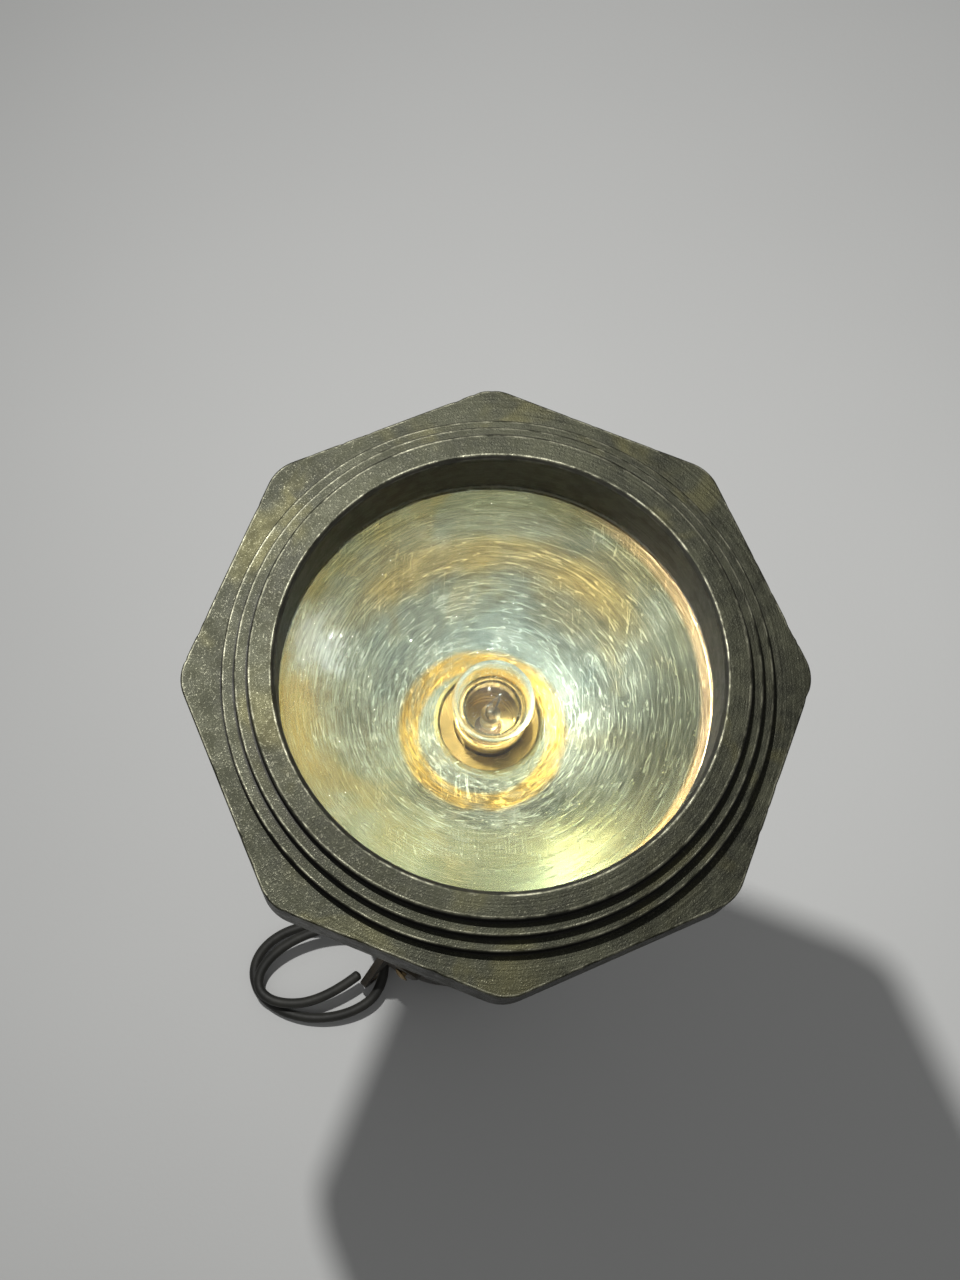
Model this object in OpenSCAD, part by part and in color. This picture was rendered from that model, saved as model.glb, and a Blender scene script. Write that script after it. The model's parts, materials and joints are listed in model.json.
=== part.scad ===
// Two-cell electric hand lamp, standing on its tail with the lens up.
// Origin: centre of the flat tail face. +Z runs up the lamp's axis to the lens.
// The hanging loop's ear is on -X and the switch is on -Y.

/* [Cells] */
// Diameter of a dry cell
cell_d = 33; // [31:0.1:34.5]
// Height of a dry cell with its terminal
cell_h = 61.5; // [58:0.1:63]
// Diameter of a cell's terminal
terminal_d = 9.5; // [7:0.1:11]
// Height of a cell's terminal
terminal_h = 1.6; // [1.2:0.1:2.4]

/* [Barrel] */
// Wall of the barrel tube
barrel_t = 0.7; // [0.5:0.05:1.4]
// Wall of the fibre liner
liner_t = 0.4; // [0.3:0.05:0.8]
// Open seam in the liner, where the contact strip runs
seam_w = 9; // [7:0.1:12]
// Gap between a cell and the liner
cell_gap = 0.35; // [0.2:0.05:0.8]
// Gap between the liner and the barrel
liner_gap = 0.15; // [0.1:0.05:0.4]
// Height of a rolled bead above the barrel's surface
bead_h = 0.6; // [0.3:0.05:0.9]
// Width of a rolled bead
bead_w = 2.4; // [1.5:0.1:4]

/* [Tail cap] */
// How far the foot's wall stands inside the cap's wall
foot_inset = 4; // [3.6:0.1:5]
// Height of the foot under the shoulder
foot_h = 9.5; // [9:0.1:11]
// Radius of the cap's shoulder
shoulder_r = 3; // [2:0.1:3.2]
// Height of the tail cap
cap_h = 31; // [29:0.1:40]
// Wall of the tail cap
cap_t = 1.1; // [0.8:0.05:1.6]
// Depth of a groove around the cap
groove_h = 0.4; // [0.2:0.05:0.6]
// Width of a groove around the cap
groove_w = 1.4; // [0.8:0.1:2]
// Metal between two grooves
groove_land = 1.2; // [0.8:0.1:2]
// Distance of the upper groove below the cap's edge
groove_drop = 2.4; // [1.5:0.1:4]

/* [Tail spring] */
// Length of the spring as fitted
spring_h = 11.4; // [10.9:0.1:14]
// Wire of the spring
spring_wire = 1.1; // [0.8:0.05:1.3]
// Diameter of the spring's bottom curl, at the middle of the wire
spring_low_d = 22; // [18:0.1:24]
// Diameter of the spring's top curl, at the middle of the wire
spring_top_d = 10; // [8:0.1:13]
// Number of curls
spring_curls = 4; // [3:1:5]
// Thickness of the seat and contact discs
disc_t = 0.4; // [0.3:0.05:0.8]

/* [Hanging loop] */
// Wire of the hanging loop
loop_wire = 2.2; // [2:0.05:2.3]
// Length of the outer turn, at the middle of the wire
outer_len = 29.4; // [28:0.1:31]
// Width of the outer turn, at the middle of the wire
outer_wid = 20.2; // [18:0.1:23]
// How much shorter the inner turn is than the outer one
inner_less = 1.6; // [1.5:0.05:2.4]
// Width of the inner turn, at the middle of the wire
inner_wid = 14.2; // [13:0.1:14.4]
// Height between the two turns, at the middle of the wire
turn_rise = 2.8; // [2.7:0.05:3.2]
// How far the outer turn passes the eye's centre
outer_pass = 1.2; // [0.9:0.05:1.3]
// How far the inner turn's tip stays behind the outer turn's tip
inner_short = 0.95; // [0.5:0.05:1.1]
// Angle of the loop to one side of the ear
loop_yaw = 42.5; // [41:0.5:44]
// Angle by which the inner turn is bent back towards the ear's plane
inner_yaw = 18.5; // [17:0.5:20]
// Sideways shift of the inner turn
inner_shift = 1.35; // [1.3:0.05:1.6]
// How far the inner turn's end bends away from the ear
end_bend = 1; // [0.9:0.05:1.3]
// Gap between the loop and the surface that the lamp stands on
rest_gap = 0.05; // [0.02:0.01:0.2]

/* [Ear] */
// Radius of the ear's eye
eye_r = 3.7; // [3.6:0.05:4.4]
// Width of metal around the eye
ear_rim = 1.5; // [1.3:0.05:2.2]
// Thickness of the ear
ear_t = 1.6; // [1.3:0.05:1.7]
// Distance of the eye's centre outside the cap
ear_reach = 2.2; // [2:0.05:3.5]
// Height of the eye's centre
eye_z = 6.7; // [6.6:0.05:7.5]
// Thickness of the ear's strap
strap_t = 1; // [0.8:0.05:1.4]
// Width of the ear's strap
strap_w = 17; // [15:0.1:20]
// Height of the ear's strap
strap_h = 11; // [9:0.1:13]
// Distance between the two ear rivets
ear_rivet_space = 10.5; // [9.5:0.1:11.5]
// Shank radius of an ear rivet
ear_rivet_r = 0.9; // [0.7:0.05:1.1]
// Head radius of an ear rivet
ear_rivet_head_r = 1.7; // [1.4:0.05:2]

/* [Switch] */
// Length of the switch plate
plate_len = 50; // [46:0.1:60]
// Width of the switch plate
plate_w = 14; // [13:0.1:16]
// Height of the switch plate above the barrel
plate_h = 4.2; // [3.8:0.1:5.5]
// Wall of the switch plate
plate_t = 1; // [0.8:0.05:1.2]
// Height of the middle of the switch plate
plate_z = 92; // [66:0.5:93]
// Distance of a rivet from the plate's end
rivet_inset = 3.4; // [2.8:0.1:4.2]
// Length of the plate's solid end around a rivet
plate_end = 6.5; // [6:0.1:7]
// Height of the slot's middle above the plate's middle
slot_up = 6; // [4:0.1:7]
// Depth of the flash button's centre below the plate's middle
button_down = 12; // [10:0.1:12.5]
// Length of the slide knob
knob_len = 8; // [6:0.1:9]
// Width of the slide knob
knob_w = 5; // [4:0.1:6]
// Height of the slide knob above the plate
knob_h = 2.6; // [1.5:0.1:4]
// Travel of the slide knob
knob_travel = 8; // [6:0.1:9]
// Radius of the flash button
button_r = 4; // [3:0.1:4.4]
// Height of the flash button above the plate
button_h = 2.2; // [1.6:0.1:3]
// Travel of the flash button
button_travel = 1; // [0.6:0.05:1.1]
// Shank radius of a switch rivet
rivet_r = 0.9; // [0.7:0.05:1.1]
// Head radius of a switch rivet
rivet_head_r = 1.8; // [1.4:0.05:2.2]
// Width of the contact strip
strip_w = 5; // [3:0.1:6]
// Thickness of the contact strip
strip_t = 0.35; // [0.25:0.05:0.4]
// Width of the leaf under the flash button
leaf_w = 4; // [3:0.1:5]

/* [Bulb] */
// Radius of the bulb's globe
globe_r = 5.5; // [5:0.05:5.8]
// Height of the bulb's glass above its brass can
globe_h = 11.9; // [11.4:0.1:13]
// Wall of the bulb's glass
glass_t = 0.5; // [0.3:0.05:0.7]
// Length of the bulb
bulb_len = 24; // [22:0.1:27]
// Radius of the bulb's brass can
can_r = 4.75; // [4.4:0.05:4.85]
// Wall of the bulb's brass can
can_t = 0.4; // [0.3:0.05:0.6]
// Radius of the flared rim of the can
can_rim_r = 5.05; // [4.95:0.05:5.4]
// Height of the flared rim of the can
can_rim_h = 0.6; // [0.4:0.05:1]
// How far the can stands out of the reflector's hole
can_up = 3.1; // [2:0.1:4]
// Wall of the bulb socket
socket_t = 0.6; // [0.4:0.05:0.9]
// Height of the centre contact between the cells and the bulb
contact_h = 12.95; // [12:0.05:15]

/* [Reflector] */
// Diameter of the reflector's bowl at the rim
bowl_d = 56; // [54:0.1:57]
// Radius of the hole at the bottom of the bowl
bowl_hole_r = 7.05; // [6.9:0.05:7.6]
// Wall of the reflector
bowl_t = 0.6; // [0.4:0.05:0.9]
// Width of the flat rim around the bowl
bowl_rim_w = 2.4; // [1.8:0.1:4]

/* [Head] */
// Wall of the head shell
shell_t = 1; // [0.8:0.05:1.5]
// Length of the head's neck over the barrel
neck_h = 16; // [12:0.1:20]
// Thickness of the rim under the bezel
rim_t = 3; // [2:0.1:4]

/* [Lens] */
// Gap between the bulb and the lens
dome_gap = 0.65; // [0.4:0.05:2]
// How far the lens reaches past the reflector's rim
lens_over = 0.2; // [0.1:0.05:0.6]
// Thickness of the lens
lens_t = 2; // [1.5:0.05:3]
// Thickness of the lens gasket
gasket_t = 0.8; // [0.5:0.05:1.2]

/* [Bezel] */
// How far the flats of the eight-sided ring stand outside the skirt
flat_out = 3.85; // [2:0.05:6]
// Radius that rounds the eight corners
corner_r = 5.6; // [4:0.1:10]
// Thickness of the eight-sided ring
bezel_t = 8; // [6:0.1:10]
// Turn of the eight corners about the axis
bezel_turn = 1.3; // [0:0.1:45]
// How far the bezel's lip covers the bowl
lip_over = 0.15; // [0:0.05:1.5]
// Depth of the lens below the bezel's front
mouth_depth = 8.6; // [7:0.1:10]
// Width of the front face between the mouth and the first step
face_w = 3.45; // [2.6:0.05:4]
// Width of a step
step_w = 1.7; // [1:0.05:1.8]
// Height of a step
step_h = 1.6; // [1:0.05:2]
// Length of the skirt under the eight-sided ring
skirt_h = 10; // [8:0.1:12]
// Wall of the skirt
skirt_t = 1.9; // [1.4:0.05:2.2]

/* [Clearances] */
// Gap between screwed or sliding parts
run_gap = 0.3; // [0.2:0.05:0.4]
// Gap between parts that are pressed or soldered together
seat_gap = 0.05; // [0.02:0.01:0.1]

/* [Hidden] */
$fn = 72;
cut = 0.5;
step_count = 3;

liner_in = cell_d / 2 + cell_gap;
liner_out = liner_in + liner_t;
barrel_in = liner_out + liner_gap;
barrel_r = barrel_in + barrel_t;
cap_in = barrel_r + run_gap;
cap_r = cap_in + cap_t;
foot_r = cap_r - foot_inset;
foot_edge = 0.8;
fillet_r = foot_inset - shoulder_r;
edge = 0.5;

seat_z = cap_t + seat_gap;
seat_play = 0.5;
seat_r = spring_low_d / 2 + spring_wire / 2 + seat_play;
seat_rim_t = 0.5;
seat_rim_h = 1.4;
spring_z = seat_z + disc_t + seat_gap;
spring_rise = spring_h - spring_wire;
curl_rings = 8;
coil_sides = 6;
spring_contact_z = spring_z + spring_h + seat_gap;
spring_contact_edge = 1;
spring_contact_r = spring_top_d / 2 + spring_wire / 2 + spring_contact_edge;
cell_z = spring_contact_z + disc_t + seat_gap;
cell_body_h = cell_h - terminal_h;
cell_step = cell_h + seat_gap;
cell_edge = 0.6;
cell_rim_w = 1.3;
cell_crimp = 0.8;
terminal_flange_w = 1.6;
terminal_flange_t = 0.5;
cells_top = cell_z + 2 * cell_h + seat_gap;
cap_overlap = 1.7;
barrel_z = foot_h + shoulder_r + cap_overlap;
plug_h = 1.6;
barrel_top = cells_top + plug_h;
liner_z = barrel_z + seat_gap;
liner_h = cells_top - terminal_h - liner_z;
bead_slope = 0.7;
bead_clear = 1.2;

contact_z = cells_top + seat_gap;
contact_flange_t = 1;
contact_flange_r = 4.2;
contact_r = 2.4;
bulb_z = contact_z + contact_h + seat_gap;
dome_z = bulb_z + bulb_len;
globe_z = dome_z - globe_r;
can_top = dome_z - globe_h;
tip_h = 1.1;
tip_r = 1.6;
insulator_z = bulb_z + tip_h + seat_gap;
insulator_t = 0.6;
insulator_r = 3.2;
insulator_plug_r = 2.2;
can_z = insulator_z + insulator_t + seat_gap;
can_floor = 1;
can_in = can_r - can_t;
glass_neck_h = 7;
glass_neck_r = can_in - seat_gap;
glass_neck_z = can_top - glass_neck_h;
glass_floor = 3 * glass_t;
stem_r = 1.5;
stem_z = glass_neck_z + glass_floor + seat_gap;
filament_up = 0.4;
filament_z = globe_z + filament_up;
lead_len = 5.5;
lead_r = 0.2;
lead_inset = 0.4;
lead_x = stem_r - lead_inset;

hole_z = can_top - can_up;
bowl_r = bowl_d / 2;
reflector_r = bowl_r + bowl_rim_w;
lens_r = reflector_r + lens_over;
lens_z = dome_z + dome_gap;
lens_top = lens_z + lens_t;
gasket_z = lens_z - seat_gap - gasket_t;
gasket_in = bowl_r + run_gap;
bowl_rim_z = gasket_z - seat_gap;
bowl_focus = (pow(bowl_r, 2) - pow(bowl_hole_r, 2)) / (4 * (bowl_rim_z - hole_z));
bowl_neck_h = 7;
bowl_neck_z = hole_z - bowl_neck_h;
bowl_rings = 12;

socket_gap = 0.2;
socket_in = can_r + socket_gap;
socket_r = socket_in + socket_t;
socket_drop = 1;
socket_flange_t = 1;
socket_flange_r = bowl_hole_r - socket_gap;
socket_top = hole_z - socket_drop;
block_plug_z = contact_z + contact_flange_t + seat_gap;
block_z = barrel_top + seat_gap;
block_t = 3;
block_down = 2;
block_top = bowl_neck_z - block_down;
socket_hold = 3;
socket_z = block_top - socket_hold;
boss_w = 3.55;
boss_r = socket_r + boss_w;

thread_over = 0.6;
thread_r = lens_r + thread_over;
rim_hold = 0.8;
thread_in = reflector_r - rim_hold;
thread_top = bowl_rim_z - bowl_t - seat_gap;
bezel_in = thread_r + run_gap;
skirt_r = bezel_in + skirt_t;
lip_z = lens_top + seat_gap;
front_z = lip_z + mouth_depth;
mouth_r = bowl_r - lip_over;
ring_top = front_z - step_count * step_h;
ring_z = ring_top - bezel_t;
skirt_z = ring_z - skirt_h;
side_r = skirt_r + flat_out;

neck_in = barrel_r + seat_gap;
neck_r = neck_in + shell_t;
block_cover_z = block_z + block_t + seat_gap;
neck_z = block_cover_z - neck_h;
bell_z = block_cover_z + shell_t;
rim_out = 0.4;
rim_r = skirt_r + rim_out;
rim_top = skirt_z - run_gap;
rim_z = rim_top - rim_t;
bell_angle = 2 * atan((rim_r - neck_r) / (rim_z - bell_z));
bell_arc = (rim_z - bell_z) / (2 * sin(bell_angle));
bell_steps = 10;
bell_next = bell_angle * (bell_steps - 1) / bell_steps;

ear_x = cap_r + ear_reach;
ear_r = eye_r + ear_rim;
strap_lift = 1.5;
strap_z = foot_h + shoulder_r + strap_lift;
strap_r = cap_r + seat_gap + strap_t;
web_drop = 1.5;
web_z = strap_z + strap_h - web_drop;
ear_rivet_y = ear_rivet_space / 2;
ear_rivet_z = strap_z + strap_h / 2;
ear_rivet_tail = cap_in * cos(asin((ear_rivet_y - ear_rivet_r) / cap_in)) + seat_gap;
ear_rivet_face = strap_r * cos(asin((ear_rivet_y - ear_rivet_head_r) / strap_r)) + seat_gap;
ear_rivet_head_h = 0.6;
outer_mid = outer_len / 2 - outer_pass;
inner_len = outer_len - inner_less;
inner_mid = outer_len - outer_pass - inner_short - inner_len / 2;
outer_reach = outer_mid * cos(loop_yaw)
    + norm([outer_len / 2 * cos(loop_yaw), outer_wid / 2 * sin(loop_yaw)]);
loop_lean = asin((eye_z - rest_gap - loop_wire / 2 - turn_rise / 2) / outer_reach);
loop_cross = 45;
bend_start = 600;
bend_arc = 60;
loop_rings = 24;
loop_start = 4;
loop_end = 4;

plate_face = barrel_r + plate_h;
plate_under = plate_face - plate_t;
cavity_len = plate_len - 2 * plate_end;
slot_w = knob_w + 2 * run_gap;
slot_len = knob_len + knob_travel + 2 * run_gap;
slot_z = plate_z + slot_up;
knob_z = slot_z - knob_travel / 2;
knob_base_y = plate_under - run_gap;
knob_base_t = 1;
knob_base_out = 1.5;
rib_count = 3;
rib_space = 1.8;
rib_w = 0.8;
rib_deep = 0.7;
nose_r = 1.4;
nose_play = 0.8;
nose_down = 3;
nose_z = knob_z - nose_down;
nose_top_y = knob_base_y - knob_base_t - seat_gap;
contact_arm_w = 4;
contact_arm_t = 0.4;
contact_arm_end = 2;
button_z = plate_z - button_down;
button_flange_t = 0.7;
button_flange_r = button_r + 0.8;
button_edge = 0.6;
rivet_z = plate_len / 2 - rivet_inset;
rivet_flare = 0.4;
rivet_tail_r = rivet_r + rivet_flare;
rivet_tail_h = 0.3;
rivet_head_h = 0.75;
leaf_y = barrel_r + run_gap;
leaf_t = 0.35;
leaf_end = 1.9;
leaf_past = 3;
strip_r = liner_in;
strip_down = 3;
strip_z = slot_z - strip_down;
strip_top = block_top + seat_gap;
strip_ring_w = 2.5;

// Points of an arc about (x, y), from angle a to angle b.
function arc(x, y, r, a, b, steps = 8) =
    [for (i = [0:steps]) [x + r * cos(a + (b - a) * i / steps), y + r * sin(a + (b - a) * i / steps)]];

// A ring of rectangular section standing on height z.
module ring(outer, inner, z, h) {
    translate([0, 0, z])
        difference() {
            cylinder(r = outer, h = h);
            translate([0, 0, -cut])
                cylinder(r = inner, h = h + 2 * cut);
        }
}

// A disc standing on height z.
module disc(r, z, h) {
    translate([0, 0, z])
        cylinder(r = r, h = h);
}

// A flat bar with round ends: length along X, width along Y, thickness h along Z.
module slab(len, wid, h) {
    translate([-(len - wid) / 2, -wid / 2, 0])
        cube([len - wid, wid, h]);
    for (side = [-1, 1])
        translate([side * (len - wid) / 2, 0, 0])
            cylinder(d = wid, h = h);
}

// A cylinder that points along -Y, from depth y0 to depth y1, at height z.
module peg_y(r, y0, y1, z) {
    translate([0, -y0, z])
        rotate([90, 0, 0])
            cylinder(r = r, h = y1 - y0);
}

// A bar with round ends on the -Y side, from depth y0 to depth y1: length along Z, width along X.
module slab_y(len, wid, y0, y1, z) {
    translate([0, -y0, z])
        rotate([90, 0, 0])
            rotate([0, 0, 90])
                slab(len, wid, y1 - y0);
}

// A box on the -Y side, centred on X, from depth y0 to depth y1 and from height z0 to height z1.
module box_y(wid, y0, y1, z0, z1) {
    translate([-wid / 2, -y1, z0])
        cube([wid, y1 - y0, z1 - z0]);
}

// Unit vector along v.
function unit(v) = v / norm(v);

// Tube of one wire along a list of points, closed at both ends.
// Each section's first corner leans towards the fixed direction "up".
module wire(points, r, sides, up) {
    count = len(points);
    dirs = [for (i = [0:count - 1])
        unit(points[min(i + 1, count - 1)] - points[max(i - 1, 0)])];
    sections = [for (i = [0:count - 1])
        let (side = unit(cross(dirs[i], up)), rise = cross(side, dirs[i]))
        for (k = [0:sides - 1])
            points[i] + r * (cos(360 * k / sides) * rise + sin(360 * k / sides) * side)];
    walls = [for (i = [0:count - 2], k = [0:sides - 1])
        let (a = i * sides + k, b = i * sides + (k + 1) % sides)
        each [[a, b, a + sides], [b, b + sides, a + sides]]];
    first_end = [for (k = [1:sides - 2]) [0, k + 1, k]];
    last = (count - 1) * sides;
    last_end = [for (k = [1:sides - 2]) [last, last + k, last + k + 1]];
    polyhedron(points = sections, faces = concat(walls, first_end, last_end), convexity = 6);
}

// Least distance between stretches of a path that are at least "apart" points from each other.
function least_gap(points, apart) =
    min([for (i = [0:len(points) - 1], j = [i + apart:1:len(points) - 1]) norm(points[i] - points[j])]);

// Smooth step from 0 to 1.
function ease(t) = let (c = min(max(t, 0), 1)) c * c * (3 - 2 * c);

// Outline of the cap's foot and shoulder, grown outwards by g.
function cap_outline(g) = concat(
    arc(foot_r + fillet_r, foot_h - fillet_r, fillet_r - g, 180, 90),
    arc(cap_r - shoulder_r, foot_h + shoulder_r, shoulder_r + g, -90 + 90 / 8, 0, 7));

module tail_cap() {
    color([0.3, 0.27, 0.22])
        difference() {
            rotate_extrude()
                polygon(concat(
                    [[0, 0]],
                    arc(foot_r - foot_edge, foot_edge, foot_edge, -90, 0),
                    cap_outline(0),
                    [[cap_r, cap_h - edge], [cap_r - edge, cap_h], [cap_in, cap_h]],
                    arc(cap_r - shoulder_r, foot_h + shoulder_r, shoulder_r - cap_t, 0, -90),
                    [[foot_r - cap_t, foot_h + cap_t], [foot_r - cap_t, cap_t], [0, cap_t]]));
            for (i = [0:1])
                ring(cap_r + cut, cap_r - groove_h,
                    cap_h - groove_drop - groove_w - i * (groove_w + groove_land), groove_w);
            for (side = [-1, 1])
                peg_x(ear_rivet_r + seat_gap, cap_in / 2, 2 * cap_r, side);
        }
}

// A cylinder at an ear rivet's place that points along -X, from depth x0 to depth x1.
module peg_x(r, x0, x1, side) {
    translate([-x0, side * ear_rivet_y, ear_rivet_z])
        rotate([0, -90, 0])
            cylinder(r = r, h = x1 - x0);
}

module ring_ear() {
    color([0.36, 0.32, 0.25])
        difference() {
            union() {
                intersection() {
                    ring(strap_r, cap_r - strap_t, strap_z, strap_h);
                    translate([-cap_in / 2, 0, ear_rivet_z])
                        rotate([0, -90, 0])
                            rotate([0, 0, 90])
                                slab(strap_w, strap_h, cap_r);
                }
                translate([0, ear_t / 2, 0])
                    rotate([90, 0, 0])
                        linear_extrude(ear_t)
                            ear_outline();
            }
            rotate_extrude()
                polygon(concat(
                    [[0, -cut]],
                    [[foot_r + seat_gap, -cut]],
                    cap_outline(seat_gap),
                    [[cap_r + seat_gap, cap_h], [0, cap_h]]));
            translate([-ear_x, ear_t, eye_z])
                rotate([90, 0, 0])
                    cylinder(r = eye_r, h = 2 * ear_t);
            for (side = [-1, 1])
                peg_x(ear_rivet_r + seat_gap, cap_in / 2, 2 * cap_r, side);
        }
}

// Side outline of the ear's web, with X across and Z up.
module ear_outline() {
    translate([-ear_x, eye_z])
        circle(r = ear_r);
    polygon([
        [-ear_x - ear_r * cos(30), eye_z + ear_r * sin(30)],
        [-strap_r, web_z],
        [-foot_r, web_z],
        [-foot_r, eye_z],
        [-ear_x, eye_z]]);
}

module ear_rivets() {
    color([0.55, 0.45, 0.28])
        for (side = [-1, 1]) {
            peg_x(ear_rivet_r, ear_rivet_tail, ear_rivet_face + ear_rivet_head_h / 2, side);
            peg_x(ear_rivet_head_r, ear_rivet_face, ear_rivet_face + ear_rivet_head_h, side);
        }
}

// Middle of the loop's wire, t turns from its start. The eye's centre is at the origin.
// The outer turn lies low and the inner turn high, and the wire crosses over inside the eye.
// The inner turn's end bends out and lies beside the ear.
function loop_point(t) =
    let (
        w = ease((360 * (t - 1) + loop_cross) / (2 * loop_cross)),
        mid = outer_mid + (inner_mid - outer_mid) * w,
        x = (outer_len + (inner_len - outer_len) * w) / 2 * cos(360 * t),
        y = (outer_wid + (inner_wid - outer_wid) * w) / 2 * sin(360 * t),
        g = inner_yaw * w,
        shift = inner_shift * w + end_bend * ease((360 * t - bend_start) / bend_arc))
    [-mid + x * cos(g) - y * sin(g), shift + x * sin(g) + y * cos(g), turn_rise * (w - 0.5)];

loop_path = [for (i = [loop_start:2 * loop_rings - loop_end]) loop_point(i / loop_rings)];
echo(loop_self_gap = least_gap(loop_path, loop_rings / 3) - loop_wire);

module hanging_loop() {
    color([0.1, 0.1, 0.1])
        translate([-ear_x, 0, eye_z])
            rotate([0, -loop_lean, 0])
                rotate([0, 0, -loop_yaw])
                    wire(loop_path, loop_wire / 2, coil_sides, [0, 0, 1]);
}

module spring_seat() {
    color([0.6, 0.5, 0.3]) {
        disc(seat_r + seat_rim_t, seat_z, disc_t);
        ring(seat_r + seat_rim_t, seat_r, seat_z, seat_rim_h);
    }
}

// Middle of the tail spring's wire, t curls from the bottom.
function spring_point(t) =
    let (r = (spring_low_d + (spring_top_d - spring_low_d) * t / spring_curls) / 2)
    [r * cos(360 * t), r * sin(360 * t), spring_z + spring_wire / 2 + spring_rise * t / spring_curls];

spring_path = [for (i = [0:curl_rings * spring_curls]) spring_point(i / curl_rings)];
echo(spring_self_gap = least_gap(spring_path, curl_rings / 2 + 1) - spring_wire);

module tail_spring() {
    color([0.55, 0.55, 0.55])
        wire(spring_path, spring_wire / 2, coil_sides, [0, 0, 1]);
}

module spring_contact() {
    color([0.7, 0.6, 0.35])
        disc(spring_contact_r, spring_contact_z, disc_t);
}

module barrel() {
    color([0.28, 0.26, 0.22])
        difference() {
            union() {
                ring(barrel_r, barrel_in, barrel_z, barrel_top - barrel_z);
                for (z = [cap_h + bead_clear, cap_h + bead_clear + 2 * bead_w, neck_z - bead_clear - bead_w])
                    bead(z);
            }
            slab_y(knob_travel + 2 * (nose_r + nose_play), 2 * (nose_r + nose_play), 0, plate_face,
                nose_z + knob_travel / 2);
            for (side = [-1, 1])
                peg_y(rivet_r + seat_gap, 0, plate_face, plate_z + side * rivet_z);
        }
}

// A rolled bead around the barrel, with its lower edge at height z.
module bead(z) {
    rotate_extrude()
        polygon([
            [barrel_in + barrel_t / 2, z],
            [barrel_r, z],
            [barrel_r + bead_h, z + bead_slope],
            [barrel_r + bead_h, z + bead_w - bead_slope],
            [barrel_r, z + bead_w],
            [barrel_in + barrel_t / 2, z + bead_w]]);
}

module barrel_liner() {
    color([0.35, 0.22, 0.15])
        difference() {
            ring(liner_out, liner_in, liner_z, liner_h);
            box_y(seam_w, 0, barrel_r, liner_z - cut, liner_z + liner_h + cut);
        }
}

// Body of a dry cell standing on height z.
module cell(z) {
    r = cell_d / 2;
    translate([0, 0, z])
        rotate_extrude()
            polygon([
                [0, 0],
                [r - cell_edge, 0],
                [r, cell_edge],
                [r, cell_body_h - cell_edge],
                [r - cell_edge, cell_body_h],
                [r - cell_rim_w, cell_body_h],
                [r - cell_rim_w, cell_body_h - cell_crimp],
                [0, cell_body_h - cell_crimp]]);
}

// Terminal of a dry cell that stands on height z.
module terminal(z) {
    base = cell_body_h - cell_crimp + seat_gap;
    disc(terminal_d / 2 + terminal_flange_w, z + base, terminal_flange_t);
    disc(terminal_d / 2, z + base, cell_h - base);
}

module cell_rear() {
    color([0.25, 0.3, 0.4])
        cell(cell_z);
}

module cell_rear_terminal() {
    color([0.75, 0.65, 0.4])
        terminal(cell_z);
}

module cell_front() {
    color([0.25, 0.3, 0.4])
        cell(cell_z + cell_step);
}

module cell_front_terminal() {
    color([0.75, 0.65, 0.4])
        terminal(cell_z + cell_step);
}

module contact_block() {
    color([0.2, 0.12, 0.08])
        difference() {
            union() {
                disc(barrel_in - seat_gap, block_plug_z, block_z - block_plug_z);
                disc(neck_in - seat_gap, block_z, block_t);
                disc(boss_r, block_z, block_top - block_z);
            }
            disc(socket_r + seat_gap, socket_z - seat_gap, block_top);
            disc(contact_r + seat_gap, contact_z, block_top - contact_z);
            box_y(strip_w + 2 * run_gap, strip_r - run_gap, neck_r, contact_z, block_z + block_t + cut);
        }
}

module centre_contact() {
    color([0.75, 0.6, 0.3]) {
        disc(contact_flange_r, contact_z, contact_flange_t);
        disc(contact_r, contact_z, contact_h);
    }
}

module bulb_socket() {
    color([0.65, 0.52, 0.28]) {
        ring(socket_r, socket_in, socket_z, socket_top - socket_z);
        ring(socket_flange_r, socket_in, socket_top - socket_flange_t, socket_flange_t);
    }
}

module bulb_base() {
    color([0.7, 0.55, 0.3]) {
        ring(can_r, can_in, can_z, can_top - can_z);
        ring(can_r, insulator_plug_r + seat_gap, can_z, can_floor);
        ring(can_rim_r, can_in, can_top - can_rim_h, can_rim_h);
    }
}

module bulb_insulator() {
    color([0.12, 0.1, 0.1]) {
        disc(insulator_r, insulator_z, insulator_t);
        disc(insulator_plug_r, insulator_z, insulator_t + can_floor + seat_gap);
    }
}

module bulb_tip() {
    color([0.6, 0.6, 0.6])
        disc(tip_r, bulb_z, tip_h);
}

// Outside of the bulb's glass, shrunk by g: a globe on a straight neck.
module glass_form(g) {
    translate([0, 0, globe_z])
        sphere(r = globe_r - g);
    disc(glass_neck_r - g, glass_neck_z + 3 * g, globe_z - glass_neck_z - 3 * g);
}

module bulb_glass() {
    color([0.8, 0.85, 0.85, 0.4])
        difference() {
            glass_form(0);
            glass_form(glass_t);
        }
}

module bulb_stem() {
    color([0.7, 0.72, 0.7]) {
        disc(stem_r, stem_z, filament_z - lead_len - stem_z);
        for (side = [-1, 1])
            translate([side * lead_x, 0, filament_z - lead_len - edge])
                cylinder(r = lead_r, h = lead_len + edge - seat_gap - lead_r);
    }
}

module filament() {
    color([0.5, 0.5, 0.45])
        translate([-lead_x - lead_inset, 0, filament_z])
            rotate([0, 90, 0])
                cylinder(r = lead_r, h = 2 * (lead_x + lead_inset));
}

// Height of the reflector's inner face at radius r.
function bowl_z(r) = hole_z + (pow(r, 2) - pow(bowl_hole_r, 2)) / (4 * bowl_focus);

// The reflector's wall measured along the axis at radius r.
function bowl_wall(r) = bowl_t * norm([1, r / (2 * bowl_focus)]);

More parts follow.
